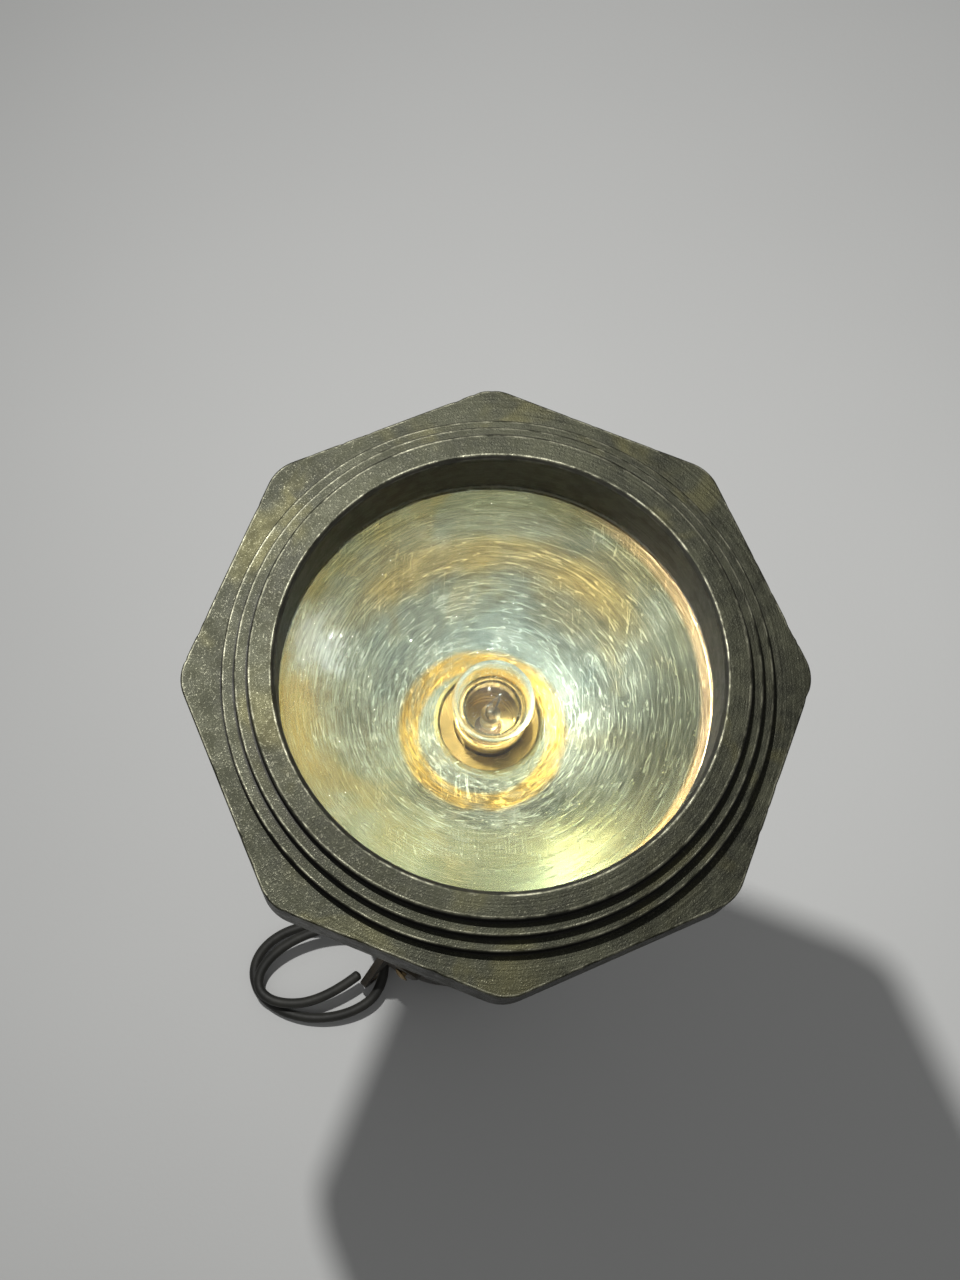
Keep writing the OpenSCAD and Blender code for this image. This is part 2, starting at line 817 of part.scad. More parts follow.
module reflector() {
    outer_hole = bowl_hole_r + bowl_t;
    color([0.75, 0.72, 0.6])
        rotate_extrude()
            polygon(concat(
                [[bowl_hole_r, bowl_neck_z]],
                [for (i = [0:bowl_rings])
                    let (r = bowl_hole_r + (bowl_r - bowl_hole_r) * i / bowl_rings)
                    [r, bowl_z(r)]],
                [[reflector_r, bowl_rim_z], [reflector_r, bowl_rim_z - bowl_t]],
                [for (i = [bowl_rings:-1:0])
                    let (r = outer_hole + (bowl_r + bowl_t / 2 - outer_hole) * i / bowl_rings)
                    [r, min(bowl_z(r) - bowl_wall(r), bowl_rim_z - bowl_t)]],
                [[outer_hole, bowl_neck_z]]));
}

module head_shell() {
    lead_in = strip_r + strip_t + run_gap;
    color([0.3, 0.27, 0.22])
        rotate_extrude()
            polygon(concat(
                [[neck_in, neck_z], [neck_r - edge, neck_z], [neck_r, neck_z + edge]],
                arc(neck_r + bell_arc, bell_z, bell_arc, 180, 180 - bell_angle, bell_steps),
                arc(rim_r - bell_arc, rim_z, bell_arc, -bell_next, 0, bell_steps - 1),
                [[rim_r, rim_top], [thread_r, rim_top], [thread_r, thread_top], [thread_in, thread_top],
                    [thread_in, rim_top]],
                arc(rim_r - bell_arc, rim_z, bell_arc - shell_t, 0, -bell_angle, bell_steps),
                arc(neck_r + bell_arc, bell_z, bell_arc + shell_t, 180 - bell_next, 180, bell_steps - 1),
                [[lead_in, bell_z], [lead_in, block_cover_z], [neck_in, block_cover_z]]));
}

module lens_gasket() {
    color([0.1, 0.1, 0.1])
        ring(reflector_r, gasket_in, gasket_z, gasket_t);
}

module lens() {
    color([0.8, 0.85, 0.85, 0.4])
        disc(lens_r, lens_z, lens_t);
}

// Eight-sided outline with rounded corners.
module octagon() {
    mid_r = (side_r - corner_r) / cos(22.5);
    polygon([
        for (k = [0:7], side = [-22.5, 22.5])
            let (a = bezel_turn + 45 * k)
            [mid_r * cos(a) + corner_r * cos(a + side), mid_r * sin(a) + corner_r * sin(a + side)]]);
    for (k = [0:7])
        rotate(bezel_turn + 45 * k)
            translate([mid_r, 0])
                circle(r = corner_r);
}

module bezel() {
    color([0.33, 0.29, 0.24])
        difference() {
            union() {
                translate([0, 0, ring_z])
                    linear_extrude(bezel_t)
                        octagon();
                for (i = [0:step_count - 1])
                    disc(mouth_r + face_w + i * step_w, lip_z, front_z - i * step_h - lip_z);
                disc(skirt_r, skirt_z, skirt_h + bezel_t / 2);
            }
            disc(mouth_r, skirt_z - cut, front_z);
            disc(bezel_in, skirt_z - cut, lip_z - skirt_z + cut);
            translate([0, 0, front_z - edge])
                cylinder(r1 = mouth_r, r2 = mouth_r + 2 * edge, h = 2 * edge);
            for (i = [1:2])
                ring(skirt_r + cut, skirt_r - groove_h, skirt_z + i * 2 * groove_w, groove_w);
        }
}

module switch_plate() {
    color([0.4, 0.36, 0.28])
        difference() {
            slab_y(plate_len, plate_w, barrel_r / 2, plate_face, plate_z);
            disc(barrel_r + seat_gap, plate_z - plate_len, 2 * plate_len);
            slab_y(cavity_len, plate_w - 2 * plate_t, 0, plate_under, plate_z);
            slab_y(slot_len, slot_w, 0, plate_face + cut, slot_z);
            peg_y(button_r + run_gap, 0, plate_face + cut, button_z);
            box_y(leaf_w + 2 * run_gap, 0, leaf_y + leaf_t + run_gap,
                plate_z - rivet_z - leaf_end - run_gap, plate_z);
            for (side = [-1, 1])
                peg_y(rivet_r + seat_gap, 0, plate_face + cut, plate_z + side * rivet_z);
        }
}

module slide_knob() {
    top_y = plate_face + knob_h;
    color([0.15, 0.14, 0.13])
        difference() {
            union() {
                slab_y(knob_len + 2 * knob_base_out, knob_w + 2 * knob_base_out,
                    knob_base_y - knob_base_t, knob_base_y, knob_z);
                slab_y(knob_len, knob_w, knob_base_y - cut, top_y, knob_z);
            }
            for (i = [0:rib_count - 1])
                let (z = knob_z + (i - (rib_count - 1) / 2) * rib_space)
                box_y(knob_w + cut, top_y - rib_deep, top_y + cut, z - rib_w / 2, z + rib_w / 2);
        }
}

module slide_contact() {
    color([0.75, 0.6, 0.3]) {
        box_y(contact_arm_w, nose_top_y - contact_arm_t, nose_top_y, nose_z - contact_arm_end,
            knob_z + contact_arm_end);
        peg_y(nose_r, strip_r + strip_t + run_gap, nose_top_y - contact_arm_t / 2, nose_z);
    }
}

module flash_button() {
    flange_y = plate_under - run_gap - button_flange_t;
    color([0.5, 0.1, 0.08]) {
        peg_y(button_flange_r, flange_y, flange_y + button_flange_t, button_z);
        peg_y(button_r, flange_y, plate_face + button_h - button_edge, button_z);
        peg_y(button_r - button_edge, flange_y, plate_face + button_h, button_z);
    }
}

module button_leaf() {
    color([0.75, 0.6, 0.3])
        difference() {
            box_y(leaf_w, leaf_y, leaf_y + leaf_t, plate_z - rivet_z - leaf_end, button_z + leaf_past);
            peg_y(rivet_r + seat_gap, 0, plate_face, plate_z - rivet_z);
        }
}

module contact_strip() {
    color([0.75, 0.6, 0.3])
        difference() {
            union() {
                box_y(strip_w, strip_r, strip_r + strip_t, strip_z, strip_top + strip_t);
                box_y(strip_w, socket_r + strip_ring_w / 2, strip_r + strip_t, strip_top,
                    strip_top + strip_t);
                ring(socket_r + strip_ring_w, socket_r + seat_gap, strip_top, strip_t);
            }
            peg_y(rivet_tail_r + run_gap, 0, plate_face, plate_z + rivet_z);
        }
}

module switch_rivets() {
    tail = barrel_in - rivet_tail_h;
    head = plate_face + seat_gap;
    color([0.55, 0.45, 0.28])
        for (side = [-1, 1])
            let (z = plate_z + side * rivet_z) {
                peg_y(rivet_r, tail, head + rivet_head_h / 2, z);
                peg_y(rivet_tail_r, tail, barrel_in - 2 * seat_gap, z);
                peg_y(rivet_head_r, head, head + rivet_head_h, z);
            }
}

tail_cap();
ring_ear();
ear_rivets();
hanging_loop();
spring_seat();
tail_spring();
spring_contact();
barrel();
barrel_liner();
cell_rear();
cell_rear_terminal();
cell_front();
cell_front_terminal();
contact_block();
centre_contact();
bulb_socket();
bulb_base();
bulb_insulator();
bulb_tip();
bulb_glass();
bulb_stem();
filament();
reflector();
head_shell();
lens_gasket();
lens();
bezel();
switch_plate();
slide_knob();
slide_contact();
flash_button();
button_leaf();
contact_strip();
switch_rivets();
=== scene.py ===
import json
import math
import bmesh
import bpy
import numpy as np
from mathutils import Matrix, Vector


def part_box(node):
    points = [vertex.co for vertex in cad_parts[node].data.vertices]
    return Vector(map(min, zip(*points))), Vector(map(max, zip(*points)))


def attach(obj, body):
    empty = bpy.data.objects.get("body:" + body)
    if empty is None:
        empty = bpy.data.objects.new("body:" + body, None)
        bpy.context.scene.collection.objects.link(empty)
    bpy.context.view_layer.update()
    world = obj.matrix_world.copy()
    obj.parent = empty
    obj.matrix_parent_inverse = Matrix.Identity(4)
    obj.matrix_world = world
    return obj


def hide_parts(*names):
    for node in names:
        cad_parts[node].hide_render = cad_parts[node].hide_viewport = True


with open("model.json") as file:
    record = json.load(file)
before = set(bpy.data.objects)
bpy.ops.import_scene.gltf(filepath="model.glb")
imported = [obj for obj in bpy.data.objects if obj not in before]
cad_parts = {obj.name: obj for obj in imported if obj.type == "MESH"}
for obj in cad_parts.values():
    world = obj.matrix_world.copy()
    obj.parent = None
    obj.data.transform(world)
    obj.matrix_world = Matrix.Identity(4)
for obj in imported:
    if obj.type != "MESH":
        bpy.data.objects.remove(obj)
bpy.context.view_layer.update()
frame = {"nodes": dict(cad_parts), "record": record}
nodes = frame["nodes"]
mm = 0.001
fullTurn = 2 * math.pi
rng = np.random.default_rng(11)
print("frame loaded,", len(nodes), "nodes")

cameraSettings = {
    "place": (-0.05263, -0.03439, 0.385),
    "lens": 47.81,
    "target": (0.0, 0.0, 0.180),       # seen at targetPixel
    "targetPixel": (499.0, 677.0),
    "footPixel": (387.0, 1188.0),      # where the point straight below the camera is seen
    "sensor": 36.0,
    "frameSize": (960.0, 1280.0),
}


def pixelRay(pixel):
    width, height = cameraSettings["frameSize"]
    focal = cameraSettings["lens"] / cameraSettings["sensor"] * height
    return Vector(((pixel[0] - width / 2) / focal, (height / 2 - pixel[1]) / focal, -1.0)).normalized()


def axesFrom(first, second):
    # right-handed axes: the first direction, the normal of both, and their cross product
    a = first.normalized()
    b = a.cross(second).normalized()
    return Matrix((a, b, a.cross(b))).transposed()


def makeCamera():
    where = Vector(cameraSettings["place"])
    world = axesFrom(Vector(cameraSettings["target"]) - where, Vector((0, 0, -1)))
    seen = axesFrom(pixelRay(cameraSettings["targetPixel"]), pixelRay(cameraSettings["footPixel"]))
    data = bpy.data.cameras.new("viewCamera")
    data.lens = cameraSettings["lens"]
    data.sensor_width = cameraSettings["sensor"]
    data.sensor_fit = "AUTO"
    data.clip_start = 0.01
    camera = bpy.data.objects.new("viewCamera", data)
    camera.matrix_world = Matrix.Translation(where) @ (world @ seen.transposed()).to_4x4()
    bpy.context.scene.collection.objects.link(camera)
    bpy.context.scene.camera = camera


makeCamera()
print("camera placed")


class Value:
    # one output socket, with the usual operators
    def __init__(self, finish, socket):
        self.finish = finish
        self.socket = socket

    def maths(self, operation, other=None, third=None, first=None):
        start = self if first is None else first
        return self.finish.node("ShaderNodeMath", {"operation": operation}, {0: start, 1: other, 2: third})

    def __add__(self, other):
        return self.maths("ADD", other)

    def __mul__(self, other):
        return self.maths("MULTIPLY", other)

    def __sub__(self, other):
        return self.maths("SUBTRACT", other)

    def __pow__(self, other):
        return self.maths("POWER", other)

    def __rsub__(self, other):
        return self.maths("SUBTRACT", self, first=other)

    __radd__ = __add__
    __rmul__ = __mul__

    def step(self, low, high, start=0.0, end=1.0):
        # smooth rise from start to end while the value goes from low to high
        return self.finish.node("ShaderNodeMapRange", {"interpolation_type": "SMOOTHSTEP"},
                                {0: self, 1: low, 2: high, 3: start, 4: end})

    def line(self, width):
        # 1 where the value passes a half, falling to 0 within the width: thin wandering lines
        return 1 - (self - 0.5).maths("ABSOLUTE").step(0.0, width)


class Finish:
    # one material: a Principled shader, with its fixed numbers set straight on its sockets
    def __init__(self, name, fixed=None):
        self.material = bpy.data.materials.new(name)
        self.material.use_nodes = True
        self.tree = self.material.node_tree
        self.tree.nodes.clear()
        self.out = self.tree.nodes.new("ShaderNodeOutputMaterial")
        self.shader = self.tree.nodes.new("ShaderNodeBsdfPrincipled")
        self.tree.links.new(self.shader.outputs[0], self.out.inputs["Surface"])
        for key, value in (fixed or {}).items():
            self.shader.inputs[key].default_value = value
        self.coords = self.node("ShaderNodeTexCoord", out="Object")

    def node(self, kind, settings=None, sockets=None, out=0):
        made = self.tree.nodes.new(kind)
        for key, value in (settings or {}).items():
            setattr(made, key, value)
        for key, value in (sockets or {}).items():
            if isinstance(value, Value):
                self.tree.links.new(value.socket, made.inputs[key])
            elif value is not None:
                made.inputs[key].default_value = value
        return Value(self, made.outputs[out])

    def feed(self, sockets):
        for key, value in sockets.items():
            self.tree.links.new(value.socket, self.shader.inputs[key])

    def noise(self, scale, detail=3.0, rough=0.55, vector=None, distortion=0.0):
        return self.node("ShaderNodeTexNoise", None, {
            "Vector": vector or self.coords, "Scale": scale, "Detail": detail,
            "Roughness": rough, "Distortion": distortion})

    def blend(self, mask, first, second):
        return self.node("ShaderNodeMix", {"data_type": "RGBA"}, {0: mask, 6: first, 7: second}, 2)

    def mark(self, name):
        # a per-vertex number of the piece, such as its edge wear
        return self.node("ShaderNodeAttribute", {"attribute_name": name}, None, "Fac")

    def split(self, axis):
        return self.node("ShaderNodeSeparateXYZ", None, {0: self.coords}, axis)

    def radius(self):
        x, y = self.split("X"), self.split("Y")
        return (x * x + y * y) ** 0.5

    def ringed(self, along=1.0, around=0.0):
        # coordinates (radius, height, a little of the angle): noise on them makes turning lines
        angle = self.split("Y").maths("ARCTAN2", self.split("X"))
        return self.node("ShaderNodeCombineXYZ", None,
                         {0: self.radius(), 1: self.split("Z") * along, 2: angle * around})

    def bump(self, height, distance, strength=1.0):
        return self.node("ShaderNodeBump", None,
                         {"Strength": strength, "Distance": distance, "Height": height})

    def mixed(self, share, kind, sockets):
        # lays a second shader over the Principled one, by this share
        second = self.node(kind, None, sockets)
        both = self.node("ShaderNodeMixShader", None,
                         {0: share, 1: Value(self, self.shader.outputs[0]), 2: second})
        self.tree.links.new(both.socket, self.out.inputs["Surface"])


def colour(r, g, b):
    return (r, g, b, 1.0)


def place(name, mesh, finish, body, old=()):
    mesh.validate()
    mesh.materials.append(finish.material)
    piece = bpy.data.objects.new(name, mesh)
    bpy.context.scene.collection.objects.link(piece)
    tidyMesh(mesh)
    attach(piece, body)
    if old:
        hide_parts(*old)
    return piece


def tidyMesh(mesh):
    # merges doubled points at poles and seams, and drops faces without area
    work = bmesh.new()
    work.from_mesh(mesh)
    bmesh.ops.remove_doubles(work, verts=work.verts, dist=1e-6)
    bmesh.ops.dissolve_degenerate(work, edges=work.edges, dist=1e-7)
    work.to_mesh(mesh)
    work.free()
    mesh.update()


def meshOf(name, points, wrap=(True, True), marks=None):
    # points: (n, m, 3) grid, faced so that row direction x column direction points outwards
    n, m = points.shape[:2]
    index = np.arange(n * m).reshape(n, m)
    rows = index if wrap[0] else index[:-1]
    after = np.roll(index, -1, 0) if wrap[0] else index[1:]
    pick = slice(None) if wrap[1] else slice(0, m - 1)
    shift = (lambda a: np.roll(a, -1, 1)) if wrap[1] else (lambda a: a[:, 1:])
    quads = np.stack([rows[:, pick], after[:, pick], shift(after), shift(rows)], -1).reshape(-1, 4)
    mesh = bpy.data.meshes.new(name)
    mesh.vertices.add(n * m)
    mesh.vertices.foreach_set("co", points.reshape(-1).astype(np.float32))
    mesh.loops.add(quads.size)
    mesh.loops.foreach_set("vertex_index", quads.reshape(-1).astype(np.int32))
    mesh.polygons.add(len(quads))
    mesh.polygons.foreach_set("loop_start", np.arange(0, quads.size, 4, dtype=np.int32))
    mesh.polygons.foreach_set("use_smooth", np.ones(len(quads), dtype=bool))
    mesh.update(calc_edges=True)
    for key, values in (marks or {}).items():
        layer = mesh.attributes.new(key, "FLOAT", "POINT")
        layer.data.foreach_set("value", np.broadcast_to(values, (n, m)).reshape(-1).astype(np.float32))
    return mesh


def softened(corners, closed=True, steps=4, guard=0.18):
    # corners: (radius, height, rounding) in mm, anticlockwise in the (radius, height) plane.
    # Each corner becomes an arc of its rounding that touches both its sides, with a guard point
    # just before and after, so that smooth shading keeps the flats flat.
    pts, wear, cornerDirtAndShade = [], [], []
    count = len(corners)
    for i, corner in enumerate(corners):
        here = np.array(corner[:2], float)
        rounding = corner[2]
        before = np.array(corners[i - 1][:2], float) - here
        after = np.array(corners[(i + 1) % count][:2], float) - here
        end = not closed and i in (0, count - 1)
        toBefore, toAfter = before / np.linalg.norm(before), after / np.linalg.norm(after)
        half = math.acos(np.clip(toBefore @ toAfter, -1, 1)) / 2
        if end or rounding <= 0 or half > math.pi / 2 - 0.02:
            pts.append(here)
            wear.append(0.0)
            cornerDirtAndShade.append(0.0)
            continue
        convex = toBefore[0] * toAfter[1] - toBefore[1] * toAfter[0] < 0
        shorter = min(np.linalg.norm(before), np.linalg.norm(after))
        reach = min(rounding / math.tan(half), 0.45 * shorter)
        radius = reach * math.tan(half)
        centre = here + (toBefore + toAfter) / np.linalg.norm(toBefore + toAfter) * radius / math.sin(half)
        start, stop = here + toBefore * reach, here + toAfter * reach
        a0 = math.atan2(*(start - centre)[::-1])
        a1 = math.atan2(*(stop - centre)[::-1])
        sweep = (a1 - a0 + math.pi) % fullTurn - math.pi
        edge = min(guard, 0.3 * shorter)
        arc = [a0 + sweep * k / steps for k in range(steps + 1)]
        run = [start + toBefore * edge]
        run += [centre + radius * np.array([math.cos(a), math.sin(a)]) for a in arc]
        run += [stop + toAfter * edge]
        amount = [0.25] + [1.0] * (steps + 1) + [0.25]
        pts += run
        # convex corners get the wear mark; concave corners get the mark that darkens them with dirt and
        # painted shade
        wear += amount if convex else [0.0] * len(run)
        cornerDirtAndShade += [0.0] * len(run) if convex else amount
    return np.array(pts) * mm, np.stack([wear, cornerDirtAndShade], 1)


def denser(profile, marks, longest, closed):
    # splits every stretch of a profile that is longer than "longest"
    following = np.roll(profile, -1, 0)
    outP, outM = [], []
    last = len(profile) if closed else len(profile) - 1
    for i in range(len(profile)):
        parts = max(1, int(np.linalg.norm(following[i] - profile[i]) / longest)) if i < last else 1
        t = np.arange(parts)[:, None] / parts
        outP.append(profile[i] + (following[i] - profile[i]) * t)
        outM.append(marks[i] + (np.roll(marks, -1, 0)[i] - marks[i]) * t)
    return np.concatenate(outP), np.concatenate(outM)


def turnedMesh(name, corners, around=180, closed=True, steps=4, longest=3.0, shape=None, seat=None):
    # a profile turned round an axis: (r cos a, r sin a, z), then set in its place by "seat"
    profile, marks = softened(corners, closed, steps)
    profile, marks = denser(profile, marks, longest * mm, closed)
    angle = np.linspace(0, fullTurn, around, endpoint=False)[:, None]
    r = np.broadcast_to(profile[:, 0], (around, len(profile)))
    z = np.broadcast_to(profile[:, 1], r.shape)
    if shape:
        r, z = shape(angle, r, z)
    points = np.stack([r * np.cos(angle), r * np.sin(angle), z], -1)
    ahead = np.roll(profile, -1, 0) - np.roll(profile, 1, 0)
    upright = np.abs(ahead[:, 1]) / np.maximum(np.linalg.norm(ahead, axis=1), 1e-9)
    if seat:
        points = seat(points)
    return meshOf(name, points, (True, closed),
                  {"wear": marks[None, :, 0], "cornerDirtAndShade": marks[None, :, 1], "upright": upright[None, :]})


def turned(name, corners, finish, body, slotName, old=(), **how):
    return place(name, turnedMesh(name, corners, **how), finish, body, old)


def joined(name, meshes, finish, body, old=()):
    # several closed shells of one piece in one mesh
    work = bmesh.new()
    for mesh in meshes:
        work.from_mesh(mesh)
    whole = bpy.data.meshes.new(name)
    work.to_mesh(whole)
    work.free()
    return place(name, whole, finish, body, old)


def tube(path, radius, sides=12, ends=6):
    # a round section carried along a path, with domed ends; points (path, side, 3)
    path = np.asarray(path, float)
    ahead = np.gradient(path, axis=0)
    ahead /= np.linalg.norm(ahead, axis=1)[:, None]
    side = np.cross(ahead, [0.0, 0.0, 1.0])
    weak = np.linalg.norm(side, axis=1) < 1e-3
    side[weak] = np.cross(ahead[weak], [1.0, 0.0, 0.0])
    side /= np.linalg.norm(side, axis=1)[:, None]
    rise = np.cross(side, ahead)
    turn = np.linspace(0, math.pi / 2, ends + 1)
    radius = np.broadcast_to(radius, len(path)).astype(float)
    head = path[0] - ahead[0] * (radius[0] * np.cos(turn))[:, None] * 0.6
    tail = path[-1] + ahead[-1] * (radius[-1] * np.sin(turn))[:, None] * 0.6
    middle = np.concatenate([head, path[1:-1], tail])
    size = np.concatenate([radius[0] * np.sin(turn), radius[1:-1], radius[-1] * np.cos(turn)])
    s = np.concatenate([np.repeat(side[:1], ends + 1, 0), side[1:-1], np.repeat(side[-1:], ends + 1, 0)])
    u = np.concatenate([np.repeat(rise[:1], ends + 1, 0), rise[1:-1], np.repeat(rise[-1:], ends + 1, 0)])
    a = np.linspace(0, fullTurn, sides, endpoint=False)[None, :, None]
    size = size[:, None, None]
    return middle[:, None] + size * (np.cos(a) * u[:, None] + np.sin(a) * s[:, None])


def wireMesh(name, path, radius, sides=12):
    points = tube(path, radius, sides)
    ends = np.zeros((len(points), 1))
    ends[:6], ends[-6:] = 0.6, 0.6
    return meshOf(name, points, (False, True), {"wear": ends, "cornerDirtAndShade": ends * 0, "upright": ends * 0})


def bevelled(name, node, finish, body, width, segments=3, sharp=32):
    # a merged copy of a CAD piece with its sharp edges rounded
    work = bmesh.new()
    work.from_mesh(nodes[node].data)
    bmesh.ops.remove_doubles(work, verts=work.verts, dist=2e-6)
    bmesh.ops.dissolve_limit(work, angle_limit=math.radians(1.0), verts=work.verts, edges=work.edges)
    bmesh.ops.recalc_face_normals(work, faces=work.faces)
    for face in work.faces:
        face.smooth = True
    mesh = bpy.data.meshes.new(name)
    work.to_mesh(mesh)
    work.free()
    piece = place(name, mesh, finish, body, (node,))
    edge = piece.modifiers.new("edges", "BEVEL")
    edge.width = width * mm
    edge.segments = segments
    edge.limit_method = "ANGLE"
    edge.angle_limit = math.radians(sharp)
    edge.use_clamp_overlap = True
    edge.harden_normals = True
    return piece


def groove(r, z, width, depth, rounding):
    # the corners of a square groove round an upright wall, from its lower edge upwards
    return [(r, z, rounding), (r - depth, z, rounding), (r - depth, z + width, rounding),
            (r, z + width, rounding)]


def levels(node):
    # lowest and highest point of a CAD piece along the axis, in mm
    low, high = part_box(node)
    return low[2] / mm, high[2] / mm


metalTones = {
    "bezel": {"dark": (0.0105, 0.0107, 0.0064), "light": (0.0295, 0.0299, 0.018),
              "bright": (0.2, 0.195, 0.14), "paintedGlint": (0.17, 0.165, 0.125), "patina": (0.05, 0.0455, 0.017),
              "roughness": 0.48, "turning": 0.5, "speck": 5200, "wear": 0.7, "metallic": 0.85},
    "shell": {"dark": (0.032, 0.028, 0.021), "light": (0.085, 0.072, 0.054), "bright": (0.36, 0.29, 0.18),
              "paintedGlint": (0.2, 0.17, 0.12), "patina": (0.085, 0.056, 0.027), "roughness": 0.4, "turning": 0.3,
              "speck": 3600, "wear": 0.7, "metallic": 0.75},
    "sheet": {"dark": (0.035, 0.03, 0.022), "light": (0.085, 0.07, 0.05), "bright": (0.4, 0.32, 0.19),
              "paintedGlint": (0.25, 0.2, 0.13), "patina": (0.1, 0.065, 0.03), "roughness": 0.44, "turning": 0.1,
              "speck": 3000, "wear": 0.65, "metallic": 0.8},
    "rivet": {"dark": (0.2, 0.14, 0.07), "light": (0.36, 0.26, 0.13), "bright": (0.6, 0.46, 0.24),
              "paintedGlint": (0.5, 0.4, 0.2), "patina": (0.12, 0.09, 0.05), "roughness": 0.4, "turning": 0.1,
              "speck": 3000, "wear": 0.7, "metallic": 0.95},
}


def metalFinish(name, t, recess=None):
    # bronzed metal: cloudy tone, fine specks with painted glints, turning lines, worn edges, dirt and
    # painted shade in the corners
    f = Finish(name)
    cloud = f.noise(90, 4, 0.6).step(0.35, 0.68)
    mottle = f.noise(520, 3, 0.6).step(0.38, 0.66)
    grain = f.noise(t["speck"], 2, 0.7)
    specks = grain.step(0.55, 0.7)
    lines = f.noise(2600, 2, 0.5, f.ringed(1.0, 0.0006))
    tone = f.blend(cloud * 0.5 + mottle * 0.4, colour(*t["dark"]), colour(*t["light"]))
    stain = f.noise(70, 3, 0.6, distortion=1.0).step(0.5, 0.7) * (f.mark("cornerDirtAndShade") * 0.5 + 0.4)
    tone = f.blend(stain, tone, colour(*t["patina"]))
    # the bright specks of the grain are painted in a paler colour: painted glints
    tone = f.blend(specks * 0.22, tone, colour(*t["paintedGlint"]))
    # the rubbed edges wear in long runs, with finer breaks in them
    runs = f.noise(500, 3, 0.65, f.ringed(1.0, 0.02)).step(0.36, 0.62)
    chips = runs * f.noise(900, 3, 0.7).step(0.4, 0.6, 0.45, 1.0)
    worn = f.mark("wear").step(0.3, 1.0) * chips * t["wear"]
    tone = f.blend(worn, tone, colour(*t["bright"]))
    # concave corners are darkened towards black: dirt and painted shade
    dirtAndShade = f.mark("cornerDirtAndShade").step(0.1, 0.9) * 0.85
    if recess:
        # walls that face sideways inside this radius are darkened towards black: old grime and painted shade
        # on the risers
        wall = f.mark("upright").step(0.4, 0.9) * f.radius().step(recess, recess + 0.0003, 1.0, 0.0)
        dirtAndShade = dirtAndShade.maths("MAXIMUM", wall * 0.85)
    tone = f.blend(dirtAndShade, tone, colour(0.009, 0.008, 0.006))
    rough = mottle * 0.12 + lines * 0.1 + (t["roughness"] - 0.08) - specks * 0.14 - worn * 0.1 + dirtAndShade * 0.2
    f.feed({"Base Color": tone, "Roughness": rough})
    f.feed({"Metallic": t["metallic"] + specks * 0.15 - dirtAndShade * 0.5})
    relief = lines * t["turning"] + grain * 0.6 + f.noise(300, 3, 0.6) * 0.6
    f.feed({"Normal": f.bump(relief, 0.0001, 0.8)})
    return f


bezelFinish = metalFinish("turnedBronze", metalTones["bezel"], 0.0347)
shellFinish = metalFinish("lacqueredShell", metalTones["shell"])
sheetFinish = metalFinish("bronzedSheet", metalTones["sheet"])
rivetFinish = metalFinish("rivetBrass", metalTones["rivet"])


def brassFinish(name, deep, pale, roughness):
    # plain brass with tarnish clouds and fine rubbing marks
    f = Finish(name, {"Metallic": 1.0})
    cloud = f.noise(160, 4, 0.6).step(0.34, 0.68)
    spots = f.noise(1400, 3, 0.65).step(0.6, 0.74)
    rub = f.noise(1800, 2, 0.5, f.ringed(0.6, 0.004))
    tone = f.blend(cloud, colour(*deep), colour(*pale))
    tone = f.blend(spots * 0.5, tone, colour(0.1, 0.07, 0.035))
    f.feed({"Base Color": tone, "Roughness": rub * 0.12 + spots * 0.2 + (roughness - 0.06)})
    f.feed({"Normal": f.bump(rub + f.noise(700, 3, 0.6) * 0.5, 0.00005, 0.5)})
    return f


contactFinish = brassFinish("contactBrass", (0.42, 0.3, 0.13), (0.62, 0.47, 0.23), 0.3)
canFinish = brassFinish("bulbBrass", (0.62, 0.43, 0.17), (0.92, 0.7, 0.34), 0.3)
socketFinish = brassFinish("socketBrass", (0.06, 0.042, 0.014), (0.14, 0.095, 0.03), 0.5)

bowlTones = {
    "silver": (0.72, 0.78, 0.64), "gold": (0.86, 0.76, 0.42), "teal": (0.48, 0.6, 0.55),
    "brass": (1.0, 0.68, 0.17), "haze": (0.84, 0.88, 0.74), "spot": (0.3, 0.25, 0.13),
    "shadedSide": (0.2, 0.215, 0.15), "cloud": (0.86, 0.93, 0.97), "arc": (1.0, 0.78, 0.32),
    "rim": (1.0, 0.72, 0.4), "paintedHighlightPlace": (-0.0114, 0.0218), "brassReflectionPlace": (-0.002, -0.0006),
    "brassReflectionRadius": (0.0084, 0.0092, 0.0109, 0.012), "smooth": 0.1, "rough": 0.62,
}


